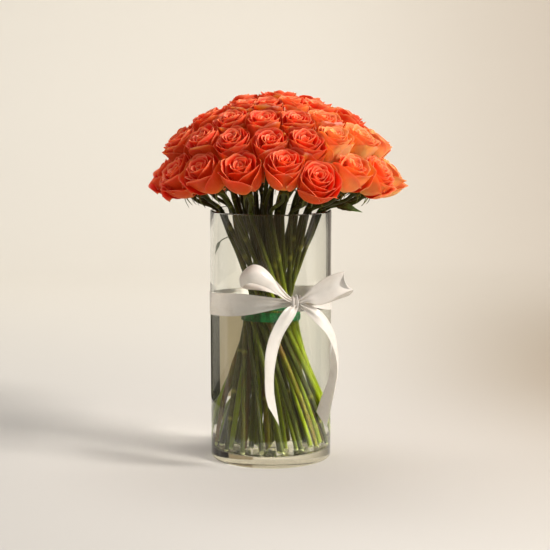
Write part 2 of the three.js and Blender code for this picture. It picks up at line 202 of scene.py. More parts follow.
@dataclass
class Shell:
    """A closed surface of quads, with values at its points. A triangle repeats its last corner."""

    points: Array
    faces: Array
    values: dict[str, Array] = field(default_factory=dict)

    @staticmethod
    def merged(shells: Sequence[Shell]) -> Shell:
        """Several shells as one, with each one's corners numbered after the last one's."""
        starts = np.cumsum([0] + [len(s.points) for s in shells])
        return Shell(
            np.concatenate([s.points for s in shells]),
            np.concatenate([s.faces + start for s, start in zip(shells, starts)]),
            {k: np.concatenate([s.values[k] for s in shells]) for k in shells[0].values},
        )

    @staticmethod
    def _spread(values: Mapping[str, Any], shape: tuple[int, ...]) -> dict[str, Array]:
        """Each value repeated over a grid of the given shape."""
        return {k: np.broadcast_to(np.asarray(v, float), shape) for k, v in values.items()}

    @staticmethod
    def strips(index: Array, wrap: bool) -> Array:
        """Quads between neighbouring rows of a grid of corner numbers, joined end to end if wrap is set."""
        right = np.roll(index, -1, axis=1) if wrap else index[:, 1:]
        left = index if wrap else index[:, :-1]
        return np.stack([left[:-1], right[:-1], right[1:], left[1:]], axis=-1).reshape(-1, 4)

    @classmethod
    def blade(cls, grid: Array, thickness: float, values: Mapping[str, Any]) -> Shell:
        """A thin leaf round a mid-surface: the grid moved half the thickness to each side along its own
        normal, the cross product of its two directions. The two sides share the grid's border.

        Args:
            grid: Points of (rows, columns, 3).
            thickness: The distance between the two sides.
            values: Values for both sides, which spread over (rows, columns).

        Returns:
            The leaf. Its value "side" is 1 on the side that the normal points to, and 0 on the other.
        """
        rows, columns = grid.shape[:2]
        normal = unit(np.cross(np.gradient(grid, axis=1), np.gradient(grid, axis=0)))
        inner = np.zeros((rows, columns), bool)
        inner[1:-1, 1:-1] = True
        front = grid + normal * (inner * thickness / 2)[..., None]
        back = (grid - normal * thickness / 2)[inner]
        index = np.arange(rows * columns).reshape(rows, columns)
        behind = index.copy()
        behind[inner] = rows * columns + np.arange(inner.sum())
        spread = cls._spread(values, inner.shape)
        carried = {k: np.concatenate([v.ravel(), v[inner]]) for k, v in spread.items()}
        side = np.concatenate([np.where(inner, 1.0, 0.5).ravel(), np.zeros(inner.sum())])
        return cls(
            np.concatenate([front.reshape(-1, 3), back]),
            np.concatenate([cls.strips(index, False), cls.strips(behind, False)[:, ::-1]]),
            {**carried, "side": side},
        )

    @classmethod
    def loft(cls, rings: Array, values: Mapping[str, Any]) -> Shell:
        """A tube through rings of as many points each, with its two ends closed by fans to their middles.

        Args:
            rings: Points of (rings, points, 3), which run anticlockwise seen from the last ring.
            values: Values that spread over (rings, points).

        Returns:
            The closed tube.
        """
        count, sides = rings.shape[:2]
        index = np.arange(count * sides).reshape(count, sides)
        first, last = index[0], index[-1]
        start, end = (np.full(sides, count * sides + i) for i in range(2))
        fans = [
            np.stack([np.roll(first, -1), first, start, start], axis=-1),
            np.stack([last, np.roll(last, -1), end, end], axis=-1),
        ]
        ends = rings[[0, -1]].mean(axis=1)
        spread = cls._spread(values, index.shape)
        return cls(
            np.concatenate([rings.reshape(-1, 3), ends]),
            np.concatenate([cls.strips(index, True), *fans]),
            {k: np.concatenate([v.ravel(), v[[0, -1]].mean(axis=1)]) for k, v in spread.items()},
        )

    @classmethod
    def hoop(cls, sections: Array, values: Mapping[str, Any]) -> Shell:
        """A closed ring: sections of as many points each, joined in order and the last to the first.

        Args:
            sections: Points of (sections, points, 3).
            values: Values that spread over (sections, points).

        Returns:
            The ring.
        """
        count, sides = sections.shape[:2]
        index = np.arange(count * sides).reshape(count, sides)
        faces = cls.strips(np.vstack([index, index[:1]]), True)
        spread = cls._spread(values, index.shape)
        return cls(sections.reshape(-1, 3), faces, {k: v.ravel() for k, v in spread.items()})

    @classmethod
    def turned(cls, profile: Sequence[tuple[float, float]], sides: int) -> Shell:
        """A solid of revolution: a profile of (radius, z), from the axis out and back to it, turned round Z.

        Args:
            profile: The profile's points, the first and last of them on the axis.
            sides: How many steps the turn has.

        Returns:
            The solid.
        """
        r, z = np.asarray(profile[1:-1], float).T
        turns = np.arange(sides) * 360 / sides
        rings = at(turns[None], r[:, None], z[:, None])
        shell = cls.loft(rings, {})
        shell.points[-2:] = [[0, 0, profile[0][1]], [0, 0, profile[-1][1]]]
        return shell

    def facing_out(self) -> Shell:
        """The same shell, its faces turned out, so that its volume, summed from the origin, is above 0."""
        a, b, c, d = (self.points[self.faces[:, i]] for i in range(4))
        volume = np.einsum("ij,ij->i", a, np.cross(b, c) + np.cross(c, d)).sum()
        if volume < 0:
            three = (self.faces[:, 2] == self.faces[:, 3])[:, None]
            self.faces = np.where(three, self.faces[:, [1, 0, 2, 2]], self.faces[:, ::-1])
        return self

    def piece(
        self, name: str, finish: bpy.types.Material, slot: str, nodes: Sequence[str]
    ) -> bpy.types.Object:
        """Makes the shell an object that rides on the part and stands for nodes of it.

        Args:
            name: The piece's name.
            finish: Its material.
            slot: The record's material slot; not used.
            nodes: The nodes that it replaces.

        Returns:
            The object, at the origin, smooth, with the values "across" and "along" as its UV map.
        """
        mesh = bpy.data.meshes.new(name)
        three = self.faces[:, 2] == self.faces[:, 3]
        keep = np.ones(self.faces.shape, bool)
        keep[three, 3] = False
        sizes = np.where(three, 3, 4)
        corners = self.faces[keep].astype(np.int32)
        mesh.vertices.add(len(self.points))
        mesh.vertices.foreach_set("co", (self.points * MM).astype(np.float32).ravel())
        mesh.loops.add(len(corners))
        mesh.loops.foreach_set("vertex_index", corners)
        mesh.polygons.add(len(sizes))
        mesh.polygons.foreach_set("loop_start", (np.cumsum(sizes) - sizes).astype(np.int32))
        mesh.update(calc_edges=True)
        mesh.validate()
        mesh.shade_smooth()
        mesh.set_sharp_from_angle(angle=SHARP_EDGE)
        if "across" in self.values:
            both = np.stack([self.values["across"], self.values["along"]], axis=-1)[corners]
            mesh.uv_layers.new(name="Lay").data.foreach_set("uv", both.astype(np.float32).ravel())
        for key, value in self.values.items():
            if key not in ("across", "along"):
                mesh.attributes.new(key, "FLOAT", "POINT").data.foreach_set("value", value.astype(np.float32))
        mesh.materials.append(finish)
        made = placed(name, mesh)
        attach(made, BODY)
        if nodes:
            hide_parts(*nodes)
        LOG.info("%s: %d faces, for %s", name, len(sizes), ", ".join(nodes) or "itself")
        return made


# ---------------------------------------------------------------- shader maths


def paint(code: str) -> tuple[float, float, float, float]:
    """A colour written as #rrggbb, as linear red, green, blue and an alpha of 1."""
    parts = [int(code[i : i + 2], 16) / 255 for i in (1, 3, 5)]
    return (*(p / 12.92 if p <= 0.04045 else ((p + 0.055) / 1.055) ** 2.4 for p in parts), 1.0)


class Wire:
    """A socket of a material's nodes that takes part in arithmetic."""

    def __init__(self, tree: Tree, socket: bpy.types.NodeSocket) -> None:
        """Wraps an output socket of a tree."""
        self.tree = tree
        self.socket = socket

    def __add__(self, other: Any) -> Wire:
        """The sum of two values."""
        return self.tree.maths("ADD", self, other)

    def __sub__(self, other: Any) -> Wire:
        """This value less another."""
        return self.tree.maths("SUBTRACT", self, other)

    def __mul__(self, other: Any) -> Wire:
        """The product of two values."""
        return self.tree.maths("MULTIPLY", self, other)

    __radd__ = __add__
    __rmul__ = __mul__

    def ramp(self, low: float, high: float, start: float = 0.0, end: float = 1.0) -> Wire:
        """Goes smoothly from start, where this value is low, to end, where it is high."""
        return self.tree.node(
            "ShaderNodeMapRange",
            {"interpolation_type": "SMOOTHSTEP"},
            {"Value": self, "From Min": low, "From Max": high, "To Min": start, "To Max": end},
        )


Socket = Union[float, Sequence[float], Wire]


class Tree:
    """A material's nodes, with the few kinds that the finishes use."""

    def __init__(self, name: str) -> None:
        """Makes an empty material with an output node."""
        self.material = bpy.data.materials.new(name)
        self.material.use_nodes = True
        self.material.node_tree.nodes.clear()

    def node(
        self,
        kind: str,
        settings: Mapping[str, Any] | None = None,
        sockets: Mapping[Union[str, int], Socket] | None = None,
        out: Union[str, int] = 0,
    ) -> Wire:
        """Adds a node.

        Args:
            kind: The node's type.
            settings: Its own settings, which are set first.
            sockets: The values or links of its input sockets.
            out: The output socket to give back.

        Returns:
            That output, as a wire.
        """
        made = self.material.node_tree.nodes.new(kind)
        for key, value in (settings or {}).items():
            setattr(made, key, value)
        for key, value in (sockets or {}).items():
            if isinstance(value, Wire):
                self.material.node_tree.links.new(value.socket, made.inputs[key])
            else:
                made.inputs[key].default_value = value
        return Wire(self, made.outputs[out] if made.outputs else None)

    def maths(self, operation: str, *sockets: Socket) -> Wire:
        """A Math node's result for the given values, in order."""
        return self.node("ShaderNodeMath", {"operation": operation}, dict(enumerate(sockets)))

    def value(self, name: str) -> Wire:
        """A value that the mesh carries at its points."""
        return self.node("ShaderNodeAttribute", {"attribute_name": name}, out="Fac")

    def mix(self, factor: Socket, one: Socket, other: Socket) -> Wire:
        """A colour that goes from one to another as the factor goes from 0 to 1."""
        return self.node("ShaderNodeMix", {"data_type": "RGBA"}, {0: factor, 6: one, 7: other}, out=2)

    def layered(self, colour: Socket, *layers: tuple[Socket, str]) -> Wire:
        """A colour with others laid over it in order, each by its own factor and written as #rrggbb."""
        for factor, code in layers:
            colour = self.mix(factor, colour, paint(code))
        return colour

    def place(self, scale: Sequence[float] = (1.0, 1.0, 1.0), lay: bool = False) -> Wire:
        """The piece's own coordinates, or its UV map, each axis times a scale."""
        source = self.node("ShaderNodeTexCoord", out="UV" if lay else "Object")
        return self.node("ShaderNodeMapping", sockets={"Vector": source, "Scale": scale})

    def axis(self, name: str, lay: bool = False) -> Wire:
        """One of the piece's own coordinates, X, Y or Z, or one of its UV map's."""
        return self.node("ShaderNodeSeparateXYZ", sockets={0: self.place(lay=lay)}, out=name)

    def noise(self, place: Wire, scale: float, detail: float = 2.0, rough: float = 0.5) -> Wire:
        """A cloudy value about 0.5."""
        sockets = {"Vector": place, "Scale": scale, "Detail": detail, "Roughness": rough}
        return self.node("ShaderNodeTexNoise", sockets=sockets)

    def bump(self, height: Wire, strength: float, distance: float) -> Wire:
        """A normal tilted by a height."""
        sockets = {"Height": height, "Strength": strength, "Distance": distance}
        return self.node("ShaderNodeBump", sockets=sockets)

    def finished(self, surface: Wire) -> bpy.types.Material:
        """Joins a surface to the output and gives the material."""
        self.node("ShaderNodeOutputMaterial", sockets={"Surface": surface})
        return self.material

    def surface(self, sockets: Mapping[str, Socket]) -> Wire:
        """A Principled surface with the given sockets."""
        return self.node("ShaderNodeBsdfPrincipled", sockets=sockets)

    def coated(self, sockets: Mapping[str, Socket]) -> bpy.types.Material:
        """The material, with nothing but a Principled surface."""
        return self.finished(self.surface(sockets))

    def see_through(self, surface: Wire) -> Wire:
        """The surface, which lets light straight through where a shadow is traced."""
        shadow = self.node("ShaderNodeLightPath", out="Is Shadow Ray")
        clear = self.node("ShaderNodeBsdfTransparent")
        return self.node("ShaderNodeMixShader", sockets={0: shadow, 1: surface, 2: clear})


# ---------------------------------------------------------------- finishes


@dataclass(frozen=True)
class PetalFinish:
    """Velvety petals: deep orange inside, salmon outside, yellower at the foot, with veins, pale rims that
    are partly painted highlight, painted shade low in the heart, and a faint painted glow.
    """

    name: str = "rose_petal"
    deep: str = "#be1604"
    bright: str = "#fc5218"
    yellow: str = "#ffb468"
    back_deep: str = "#bc2c06"
    back_bright: str = "#f46422"
    foot: str = "#e8963c"
    # rim: the rims' paler colour, partly the petals' own and partly painted highlight
    rim: str = "#ff9c70"
    tip: str = "#ec2a3a"
    shadow: str = "#a00a00"
    sheen: str = "#ffb08a"
    # painted glow: emission colours that stand in for light shining through the petals
    glow: str = "#ff2a06"
    back_glow: str = "#ff4a14"

    def material(self) -> bpy.types.Material:
        """Colour follows the petal's side, the rose's tone, the height and the distance to the rim."""
        tree = Tree(self.name)
        side, tone, edge = tree.value("side"), tree.value("tone"), tree.value("edge")
        high, fresh = tree.value("high"), tree.value("fresh")
        veins = tree.noise(tree.place((34.0, 2.2, 1.0), lay=True), 1.0, 3.0, 0.6)
        clouds = tree.noise(tree.place(), 55.0, 2.0)
        # The rose's tone is partly painted light, brighter and yellower on the right-hand roses; the rest is
        # each rose's own colour.
        blush_and_light = (tone + (fresh - 0.5) * 0.35 + (clouds - 0.5) * 0.3).ramp(0.0, 1.0)
        warm = (tone + (clouds - 0.5) * 0.25).ramp(0.62, 1.1)
        inside = tree.layered(
            paint(self.deep),
            (blush_and_light, self.bright),
            (warm, self.yellow),
            # Painted shade: the inner faces turn a darker red low down, deep in the heart where the petals
            # shade each other.
            (high.ramp(0.15, 0.75, 0.75, 0.0), self.shadow),
        )
        outside = tree.layered(
            paint(self.back_deep),
            (blush_and_light, self.back_bright),
            (warm, self.yellow),
            (high.ramp(0.0, 0.55, 0.7, 0.0), self.foot),
        )
        colour = tree.layered(
            tree.mix(side, inside, outside),
            ((veins - 0.5).ramp(0.0, 0.3, 0.0, 0.22), self.deep),
            (high.ramp(0.6, 1.0) * fresh * 0.5, self.tip),
            # Pale rims: partly the petals' own paler edges, partly painted highlight where the rims catch the
            # light.
            (edge.ramp(0.2, 5.0, 0.85, 0.0) * tree.value("pale") * (veins * 0.6 + 0.7), self.rim),
        )
        return tree.coated(
            {
                "Base Color": colour,
                "Roughness": (clouds - 0.5) * 0.2 + 0.56,
                "Normal": tree.bump(veins, 0.25, 0.0003),
                "Subsurface Weight": 0.5,
                "Subsurface Radius": (1.0, 0.3, 0.1),
                "Subsurface Scale": 0.004,
                "Sheen Weight": 0.06,
                "Sheen Roughness": 0.4,
                "Sheen Tint": paint(self.sheen),
                "Specular IOR Level": 0.14,
                # Painted light: a faint emission in place of light shining through the petals, which are no
                # lamp.
                "Emission Color": tree.mix(side, paint(self.glow), paint(self.back_glow)),
                "Emission Strength": 0.045,
            }
        )


@dataclass(frozen=True)
class StemFinish:
    """Waxy stems between fresh and dark green, some brownish, with painted shade that makes them darker and
    browner above, under the dome, and pale nodes.
    """

    name: str = "rose_stem"
    fresh: str = "#74820a"
    dark: str = "#2e320f"
    brown: str = "#55300c"
    upper: str = "#38371a"
    # upper: painted shade, the dark olive of the stems under the dome of blooms
    node: str = "#8f8c3c"
    cut: str = "#cfd39a"

    def material(self) -> bpy.types.Material:
        """Colour follows the stem's tone, the height, streaks along the stem, and rings at the nodes."""
        tree = Tree(self.name)
        tone, brown, ring, cut = (tree.value(n) for n in ("tone", "brown", "ring", "cut"))
        streak = tree.noise(tree.place((9.0, 0.02, 1.0), lay=True), 1.0, 4.0, 0.65)
        mottle = tree.noise(tree.place((1.0, 1.0, 0.25)), 160.0, 3.0)
        height = tree.axis("Z")
        green = tree.layered(
            paint(self.dark),
            ((tone + (streak - 0.5) * 0.9).ramp(0.0, 1.0), self.fresh),
            ((brown + (mottle - 0.5) * 0.8).ramp(0.45, 0.95, 0.0, 0.85), self.brown),
            # Painted shade: the stems darken above the water, where the dome of blooms shades them.
            (height.ramp(0.19, 0.27, 0.0, 0.85), self.upper),
            (ring.ramp(0.5, 1.0) * 0.5, self.node),
            (cut * 0.8, self.cut),
        )
        return tree.coated(
            {
                "Base Color": green,
                "Roughness": (mottle - 0.5) * 0.25 + 0.38,
                "Normal": tree.bump(streak, 0.35, 0.0003),
                "Subsurface Weight": 0.06,
                "Subsurface Radius": (0.6, 1.0, 0.2),
                "Subsurface Scale": 0.002,
                "Specular IOR Level": 0.14,
            }
        )


@dataclass(frozen=True)
class LeafFinish:
    """Green blades: dark and glossy above, paler below, with lighter veins and rim."""

    name: str = "rose_leaf"
    top: str = "#1f3d12"
    under: str = "#5c7a35"
    vein: str = "#7f9a4a"
    olive: str = "#5c5a1e"
    veins: float = 9.0  # veins on each side of the midrib
    slant: float = 1.6  # how many veins a vein passes on its way to the rim

    def material(self) -> bpy.types.Material:
        """Colour follows the blade's side, with veins that slant from the midrib, from the UV map."""
        tree = Tree(self.name)
        side, edge = tree.value("side"), tree.value("edge")
        out = tree.maths("ABSOLUTE", tree.axis("X", lay=True))
        turns = tree.axis("Y", lay=True) * self.veins - out * self.slant
        veins = tree.maths("SINE", turns * math.tau).ramp(0.82, 1.0)
        rib = out.ramp(0.0, 0.09, 1.0, 0.0)
        mottle = tree.noise(tree.place(), 220.0, 3.0)
        green = tree.layered(
            paint(self.under),
            (side, self.top),
            ((mottle - 0.5).ramp(0.0, 0.3, 0.0, 0.35), self.under),
            (veins * 0.35 + rib * 0.5, self.vein),
            (edge.ramp(0.0, 0.8, 0.45, 0.0), self.vein),
            (tree.value("ripe"), self.olive),
        )
        return tree.coated(
            {
                "Base Color": green,
                "Roughness": (mottle - 0.5) * 0.3 + 0.4,
                "Normal": tree.bump(veins + rib, 0.3, 0.0004),
                "Subsurface Weight": 0.1,
                "Subsurface Radius": (0.5, 1.0, 0.2),
                "Subsurface Scale": 0.002,
            }
        )


@dataclass(frozen=True)
class SatinFinish:
    """White satin: a soft shine, a fine warp along the ribbon, and a firmer woven edge."""

    name: str = "white_satin"
    face: str = "#e6dfd5"
    shade: str = "#cbc2b5"

    def material(self) -> bpy.types.Material:
        """The warp is noise drawn out along the UV map. The woven edges are ribs near across = 0 and 1."""
        tree = Tree(self.name)
        warp = tree.noise(tree.place((70.0, 3.0, 1.0), lay=True), 1.0, 3.0, 0.6)
        soft = tree.noise(tree.place(), 60.0, 2.0)
        edge = tree.maths("ABSOLUTE", tree.axis("X", lay=True) - 0.5).ramp(0.455, 0.485)
        dull = (soft - 0.5).ramp(0.0, 0.3, 0.0, 0.5)
        colour = tree.layered(paint(self.face), (dull, self.shade), (edge * 0.5, self.shade))
        return tree.coated(
            {
                "Base Color": colour,
                "Roughness": (warp - 0.5) * 0.2 + edge * 0.2 + 0.29,
                "Normal": tree.bump(warp + edge, 0.25, 0.00025),
                "Subsurface Weight": 0.4,
                "Subsurface Radius": (1.0, 0.9, 0.8),
                "Subsurface Scale": 0.003,
                "Sheen Weight": 0.2,
                "Sheen Roughness": 0.35,
                "Anisotropic": 0.4,
            }
        )


@dataclass(frozen=True)
class TapeFinish:
    """Green floral tape: crepe with a waxy shine, darker in cloudy patches."""

    name: str = "floral_tape"
    green: str = "#0d7238"
    dark: str = "#084a24"

    def material(self) -> bpy.types.Material:
        """Crepe lines run up the tape, from noise drawn out along Z."""
        tree = Tree(self.name)
        crepe = tree.noise(tree.place((1.0, 1.0, 0.12)), 700.0, 3.0)
        soft = tree.noise(tree.place(), 90.0, 2.0)
        colour = tree.mix((soft * 0.6 + crepe * 0.4).ramp(0.35, 0.65), paint(self.dark), paint(self.green))
        return tree.coated(
            {
                "Base Color": colour,
                "Roughness": 0.45,
                "Specular IOR Level": 0.15,
                "Normal": tree.bump(crepe, 0.4, 0.0005),
            }
        )


@dataclass(frozen=True)
class ClearFinish:
    """Something clear, such as glass or water, that lets light through to what stands in it."""

    name: str
    tint: str
    foot: str
    ior: float

    def material(self) -> bpy.types.Material:
        """A smooth refracting surface that shadows pass through, tinted more in the thick base."""
        tree = Tree(self.name)
        height = tree.axis("Z")
        colour = tree.mix(height.ramp(0.01, 0.02), paint(self.foot), paint(self.tint))
        clear = {"Base Color": colour, "Roughness": 0.0, "IOR": self.ior, "Transmission Weight": 1.0}
        return tree.finished(tree.see_through(tree.surface(clear)))


@dataclass(frozen=True)
class StudioFinish:
    """The studio's paper: pale on the floor, warmer up the wall, with painted shade that browns it to the
    right and darkens it towards the back right.
    """

    name: str = "studio_paper"
    floor: str = "#cbc7c1"
    back: str = "#e1dbd0"
    wall: str = "#e3ddd2"
    # aside and corner are painted shade, where the light falls off to the right
    aside: str = "#c2b3a2"
    corner: str = "#94846f"

    def material(self) -> bpy.types.Material:
        """Colour follows the distance back, the height and the way to the right, each in metres."""
        tree = Tree(self.name)
        right, far, height = (tree.axis(name) for name in "XYZ")
        mottle = tree.noise(tree.place(), 3.0, 3.0)
        colour = tree.layered(
            paint(self.floor),
            (far.ramp(0.0, 1.6), self.back),
            (height.ramp(0.05, 0.5), self.wall),
            # Painted shade: browner to the right, and darker towards the back right, as the light falls off.
            (right.ramp(0.0, 0.9, 0.0, 0.5) * far.ramp(0.0, 0.6), self.aside),
            (right.ramp(0.0, 0.7) * far.ramp(-0.8, 0.5) * far.ramp(0.3, 1.9, 1.0, 0.0), self.corner),
        )
        rough = (mottle - 0.5) * 0.1 + 0.6
        return tree.coated({"Base Color": colour, "Roughness": rough, "Specular IOR Level": 0.0})


@dataclass(frozen=True)
class ScreenFinish:
    """Matt paint on a screen."""

    name: str
    tint: str

    def material(self) -> bpy.types.Material:
        """One even colour."""
        sockets = {"Base Color": paint(self.tint), "Roughness": 0.9, "Specular IOR Level": 0.0}
        return Tree(self.name).coated(sockets)


# ---------------------------------------------------------------- where the roses stand


class Habit(Enum):
    """How far a bloom has opened."""

    CUP = "cup"
    HALF = "half"
    OPEN = "open"


@dataclass(frozen=True)
class Opening:
    """The shape of a bloom of one habit, in millimetres.

    Attributes:
        petals: How many petals it has.
        widening: The power by which the rims' radii grow from the heart out.
        crown: The height of its whorls.
        fall: How fast the rims get lower towards the outside.
        sink: How deep the heart lies.
        curl: How far the guard petals' rims roll out.
    """

    petals: int
    widening: float
    crown: float
    fall: float
    sink: float
    curl: float


OPENINGS = {
    Habit.CUP: Opening(18, 1.5, 46.0, 0.0056, 6.0, 2.0),
    Habit.HALF: Opening(20, 1.3, 46.8, 0.0084, 4.5, 2.6),
    Habit.OPEN: Opening(23, 1.12, 47.2, 0.0108, 3.0, 3.2),
}


@dataclass(frozen=True)
class Rose:
    """One rose, placed.

    Attributes:
        number: Its number from the middle of the dome out, from 0.
        size: Its size against the usual bloom.
        axis: The direction that it faces.
        base: The bloom's foot, on its hip.
        middle: The point about which its neighbours press on it.
        slot: Its stem's turn in the sheaf.
        share: Its stem's distance from the sheaf's middle, from 0 to 1.
        habit: How far it has opened.
        tone: Its colour, from 0, deep orange, to 1, yellow, partly painted light that grows towards the lit
            right.
    """

    number: int
    size: float
    axis: Array
    base: Array
    middle: Array
    slot: float
    share: float
    habit: Habit
    tone: float

    @property
    def node(self) -> str:
        """The name of the bloom's node in the part."""
        return f"rose_{self.number + 1:02d}"


@dataclass
class Planting:
    """Where the roses stand: rings over a dome, the front ones placed and the others settled evenly.

    Attributes:
        centre: The x of the dome's axis.
        z: The height of the dome's equator.
        radius: The dome's radius there.
        rise: The dome's height above it.
        edge: The greatest lean of a free rose.
        bulge: By how large a share the dome's left and right sides stand out.
        bulge_lean: The lean at which they do.
        bulge_spread: How far to either side of that lean.
        follow: The share of its place's lean that a free rose's axis takes.
        spacing: How far apart the free roses settle.
        rounds: How many times they are pushed apart.
        damping: What a rose is short of the spacing is divided by this in each push.
        height: A bloom's height.
        waist: The share of it at which its neighbours press on it.
        sway: How much the blooms' sizes differ.
        press: How far off, in spacings, a neighbour still presses.
        passes: How many times what is past a neighbour is put back.
        squeeze: The share of its room that a bloom fills before it is eased back.
        gap: The distance left between two blooms.
        tone: A free rose's usual tone.
        tone_spread: How far from it the tone is drawn.
        tone_slope: Painted light: how much the tone grows with x, per millimetre, so the roses are yellower
            on the lit right.
        rings: Each ring's count and lean, and its front roses: turn, lean, axis lean, habit and tone, whose
            tones are partly painted light, higher on the lit right and lower on the shaded left.
        roses: The roses, once they are planted.
    """

    centre: float = 8.0
    z: float = 255.0
    # Stands up two screens beside and behind the vase, and three as arcs round it: painted shade for the
    # room's unlit sides, which only the glass refracts or reflects.
    radius: float = 169.0
    rise: float = 195.0
    edge: float = 58.0
    bulge: float = 0.048
    bulge_lean: float = 42.0
    bulge_spread: float = 11.0
    follow: float = 0.82
    spacing: float = 64.0
    rounds: int = 60
    damping: float = 3.0
    height: float = 48.0
    waist: float = 0.65
    sway: float = 0.05
    press: float = 1.5
    passes: int = 4
    squeeze: float = 0.66
    gap: float = 0.3
    tone: float = 0.42
    tone_spread: float = 0.3
    tone_slope: float = 0.003
    rings: tuple = (
        (1, 3, ()),
        (
            6,
            16,
            (
                (-44, 19, 14, Habit.OPEN, 0.35),
                (-13, 17, 12, Habit.HALF, 0.4),
                (24, 16, 12, Habit.OPEN, 0.72),
                (58, 20, 16, Habit.HALF, 0.6),
            ),
        ),
        (
            11,
            30,
            (
                (-40, 31, 26, Habit.OPEN, 0.3),
                (-11, 30, 24, Habit.HALF, 0.5),
                (16, 31, 26, Habit.OPEN, 0.5),
                (41, 31, 25, Habit.HALF, 0.85),
            ),
        ),
        (
            15,
            43,
            (
                (-50, 43, 38, Habit.HALF, 0.25),
                (-28, 42, 34, Habit.OPEN, 0.3),
                (-4, 42, 34, Habit.HALF, 0.4),
                (17, 42, 33, Habit.OPEN, 0.5),
                (38, 41, 32, Habit.OPEN, 1.15),
                (60, 43, 36, Habit.HALF, 1.0),
            ),
        ),
        (
            17,
            57,
            (
                (-61, 57, 50, Habit.OPEN, 0.36),
                (-42, 55, 47, Habit.HALF, 0.45),
                (-19, 53, 38, Habit.CUP, 0.5),
                (4, 51, 36, Habit.OPEN, 0.62),
                (20, 58, 52, Habit.OPEN, 0.58),
                (42, 54, 40, Habit.CUP, 0.86),
                (62, 57, 50, Habit.OPEN, 0.84),
            ),
        ),
    )
    roses: list[Rose] = field(default_factory=list)

    def on_dome(self, turn: Array, lean: Array) -> Array:
        """Points on half an ellipsoid, whose left and right sides stand out: the sine and cosine in
        at(turn, radius sin(lean), z + rise cos(lean)) grow by bulge sin(turn)^2 times a bell curve of lean.

        Args:
            turn: The points' turns.
            lean: Their angles from the dome's axis.

        Returns:
            The points.
        """
        down = np.radians(lean)
        near = np.exp(-(((lean - self.bulge_lean) / self.bulge_spread) ** 2))
        bulge = 1 + self.bulge * np.sin(np.radians(turn)) ** 2 * near
        out, up = self.radius * np.sin(down) * bulge, self.rise * np.cos(down) * bulge
        return at(turn, out, self.z + up) + [self.centre, 0, 0]

    def _places(self) -> list[list[Any]]:
        """Each rose's turn, lean, axis lean, habit and tone. Free roses fill a ring's arc behind evenly."""
        places: list[list[Any]] = []
        for count, lean, front in self.rings:
            places += [list(p) for p in front]
            start = front[-1][0] if front else 0
            arc = 360 - (start - front[0][0] if front else 0)
            rest = count - len(front)
            for i in range(1, rest + 1):
                turn = start + arc * i / (rest + 1)
                places.append([turn - 360 if turn > 180 else turn, lean, None, None, None])
        return places

    def _settle(self, places: list[list[Any]]) -> None:
        """Pushes the free roses apart over the dome: each moves a part of what it is short of the spacing
        from every other, and back onto the dome, again and again.

        Args:
            places: The roses, whose turns and leans are changed.
        """
        turn, lean = np.array([p[:2] for p in places], float).T
        free = np.array([p[2] is None for p in places])
        for _ in range(self.rounds):
            tops = self.on_dome(turn, lean)
            away = tops[:, None] - tops[None]
            distance = np.linalg.norm(away, axis=-1)
            np.fill_diagonal(distance, np.inf)
            short = np.maximum(0, self.spacing - distance)
            moved = tops + (away / distance[..., None] * short[..., None] / self.damping).sum(axis=1)
            x, y = (moved[:, 0] - self.centre) / self.radius, moved[:, 1] / self.radius
            fall = np.degrees(np.arctan2(np.hypot(x, y), (moved[:, 2] - self.z) / self.rise))
            turn = np.where(free, np.degrees(np.arctan2(x, -y)), turn)
            lean = np.where(free, np.minimum(self.edge, fall), lean)
        for place, t, s in zip(places, turn, lean):
            place[0], place[1] = float(t), float(s)

    def plant(self) -> list[Rose]:
        """Places the roses from the middle of the dome out, each with the next slot in its ring of stems.

        Returns:
            The roses, which are kept here too.
        """
        places = self._places()
        self._settle(places)
        places.sort(key=lambda p: p[1])
        for ring, (count, _, _) in enumerate(self.rings):
            members = sorted(places[len(self.roses) : len(self.roses) + count], key=lambda p: p[0])
            phase = sum(p[0] - 360 * i / count for i, p in enumerate(members)) / count
            for i, place in enumerate(members):
                self.roses.append(self._rose(place, phase + 360 * i / count, ring))
        return self.roses

    def _rose(self, place: Sequence[Any], slot: float, ring: int) -> Rose:
        """One rose: its axis leans a little less than the dome, and its foot is a bloom's height below it.

        Args:
            place: Its turn, lean, axis lean, habit and tone. The last three are None for a free rose, whose
                axis follows the dome and whose habit and tone are drawn.
            slot: Its stem's turn in the sheaf.
            ring: Its ring, from 0 in the middle.

        Returns:
            The rose.
        """
        turn, lean, axis_lean, habit, tone = place
        n = len(self.roses)
        size = 1 + self.sway * draw(n, Feature.SIZE)
        down = math.radians(self.follow * lean if axis_lean is None else axis_lean)
        axis = at(turn, math.sin(down), math.cos(down))
        base = self.on_dome(np.array(turn), np.array(lean)) - axis * self.height * size
        if tone is None:
            drawn = self.tone + self.tone_spread * draw(n, Feature.TONE)
            # Painted light: the tone grows towards +X, the side that the key light falls from.
            tone = drawn + self.tone_slope * float(base[0])
        return Rose(
            number=n,
            size=size,
            axis=axis,
            base=base,
            middle=base + axis * self.waist * self.height,
            slot=slot,
            share=ring / (len(self.rings) - 1),
            habit=habit or list(Habit)[int(abs(draw(n, Feature.HABIT)) * 2.999)],
            tone=tone,
        )

    def squeezed(self, points: Array, rose: Rose) -> Array:
        """Eases back what reaches towards a neighbour: past a share of the room on its own side of the plane
        midway, a reach becomes room times the hyperbolic tangent of what is over.

        Args:
            points: Points of the bloom.
            rose: The rose that they belong to.

        Returns:
            The points, none of them past the middle between two blooms.
        """
        planes = []
        for other in self.roses:
            across = other.middle - rose.middle
            if other is rose or np.linalg.norm(across) >= self.press * self.spacing:
                continue
            low = (rose.base + other.base) / 2
            along = unit((rose.middle + other.middle) / 2 - low)
            normal = unit(across - along * (across @ along))
            planes.append((normal, (low - rose.middle) @ normal - self.gap / 2))
        points = points.copy()
        for normal, room in planes:
            free = self.squeeze * room
            over = np.maximum(0, (points - rose.middle) @ normal - free)
            points += ((room - free) * np.tanh(over / (room - free)) - over)[:, None] * normal
        for _ in range(self.passes):
            for normal, room in planes:
                points -= np.maximum(0, (points - rose.middle) @ normal - room)[:, None] * normal
        return points


# ---------------------------------------------------------------- blooms


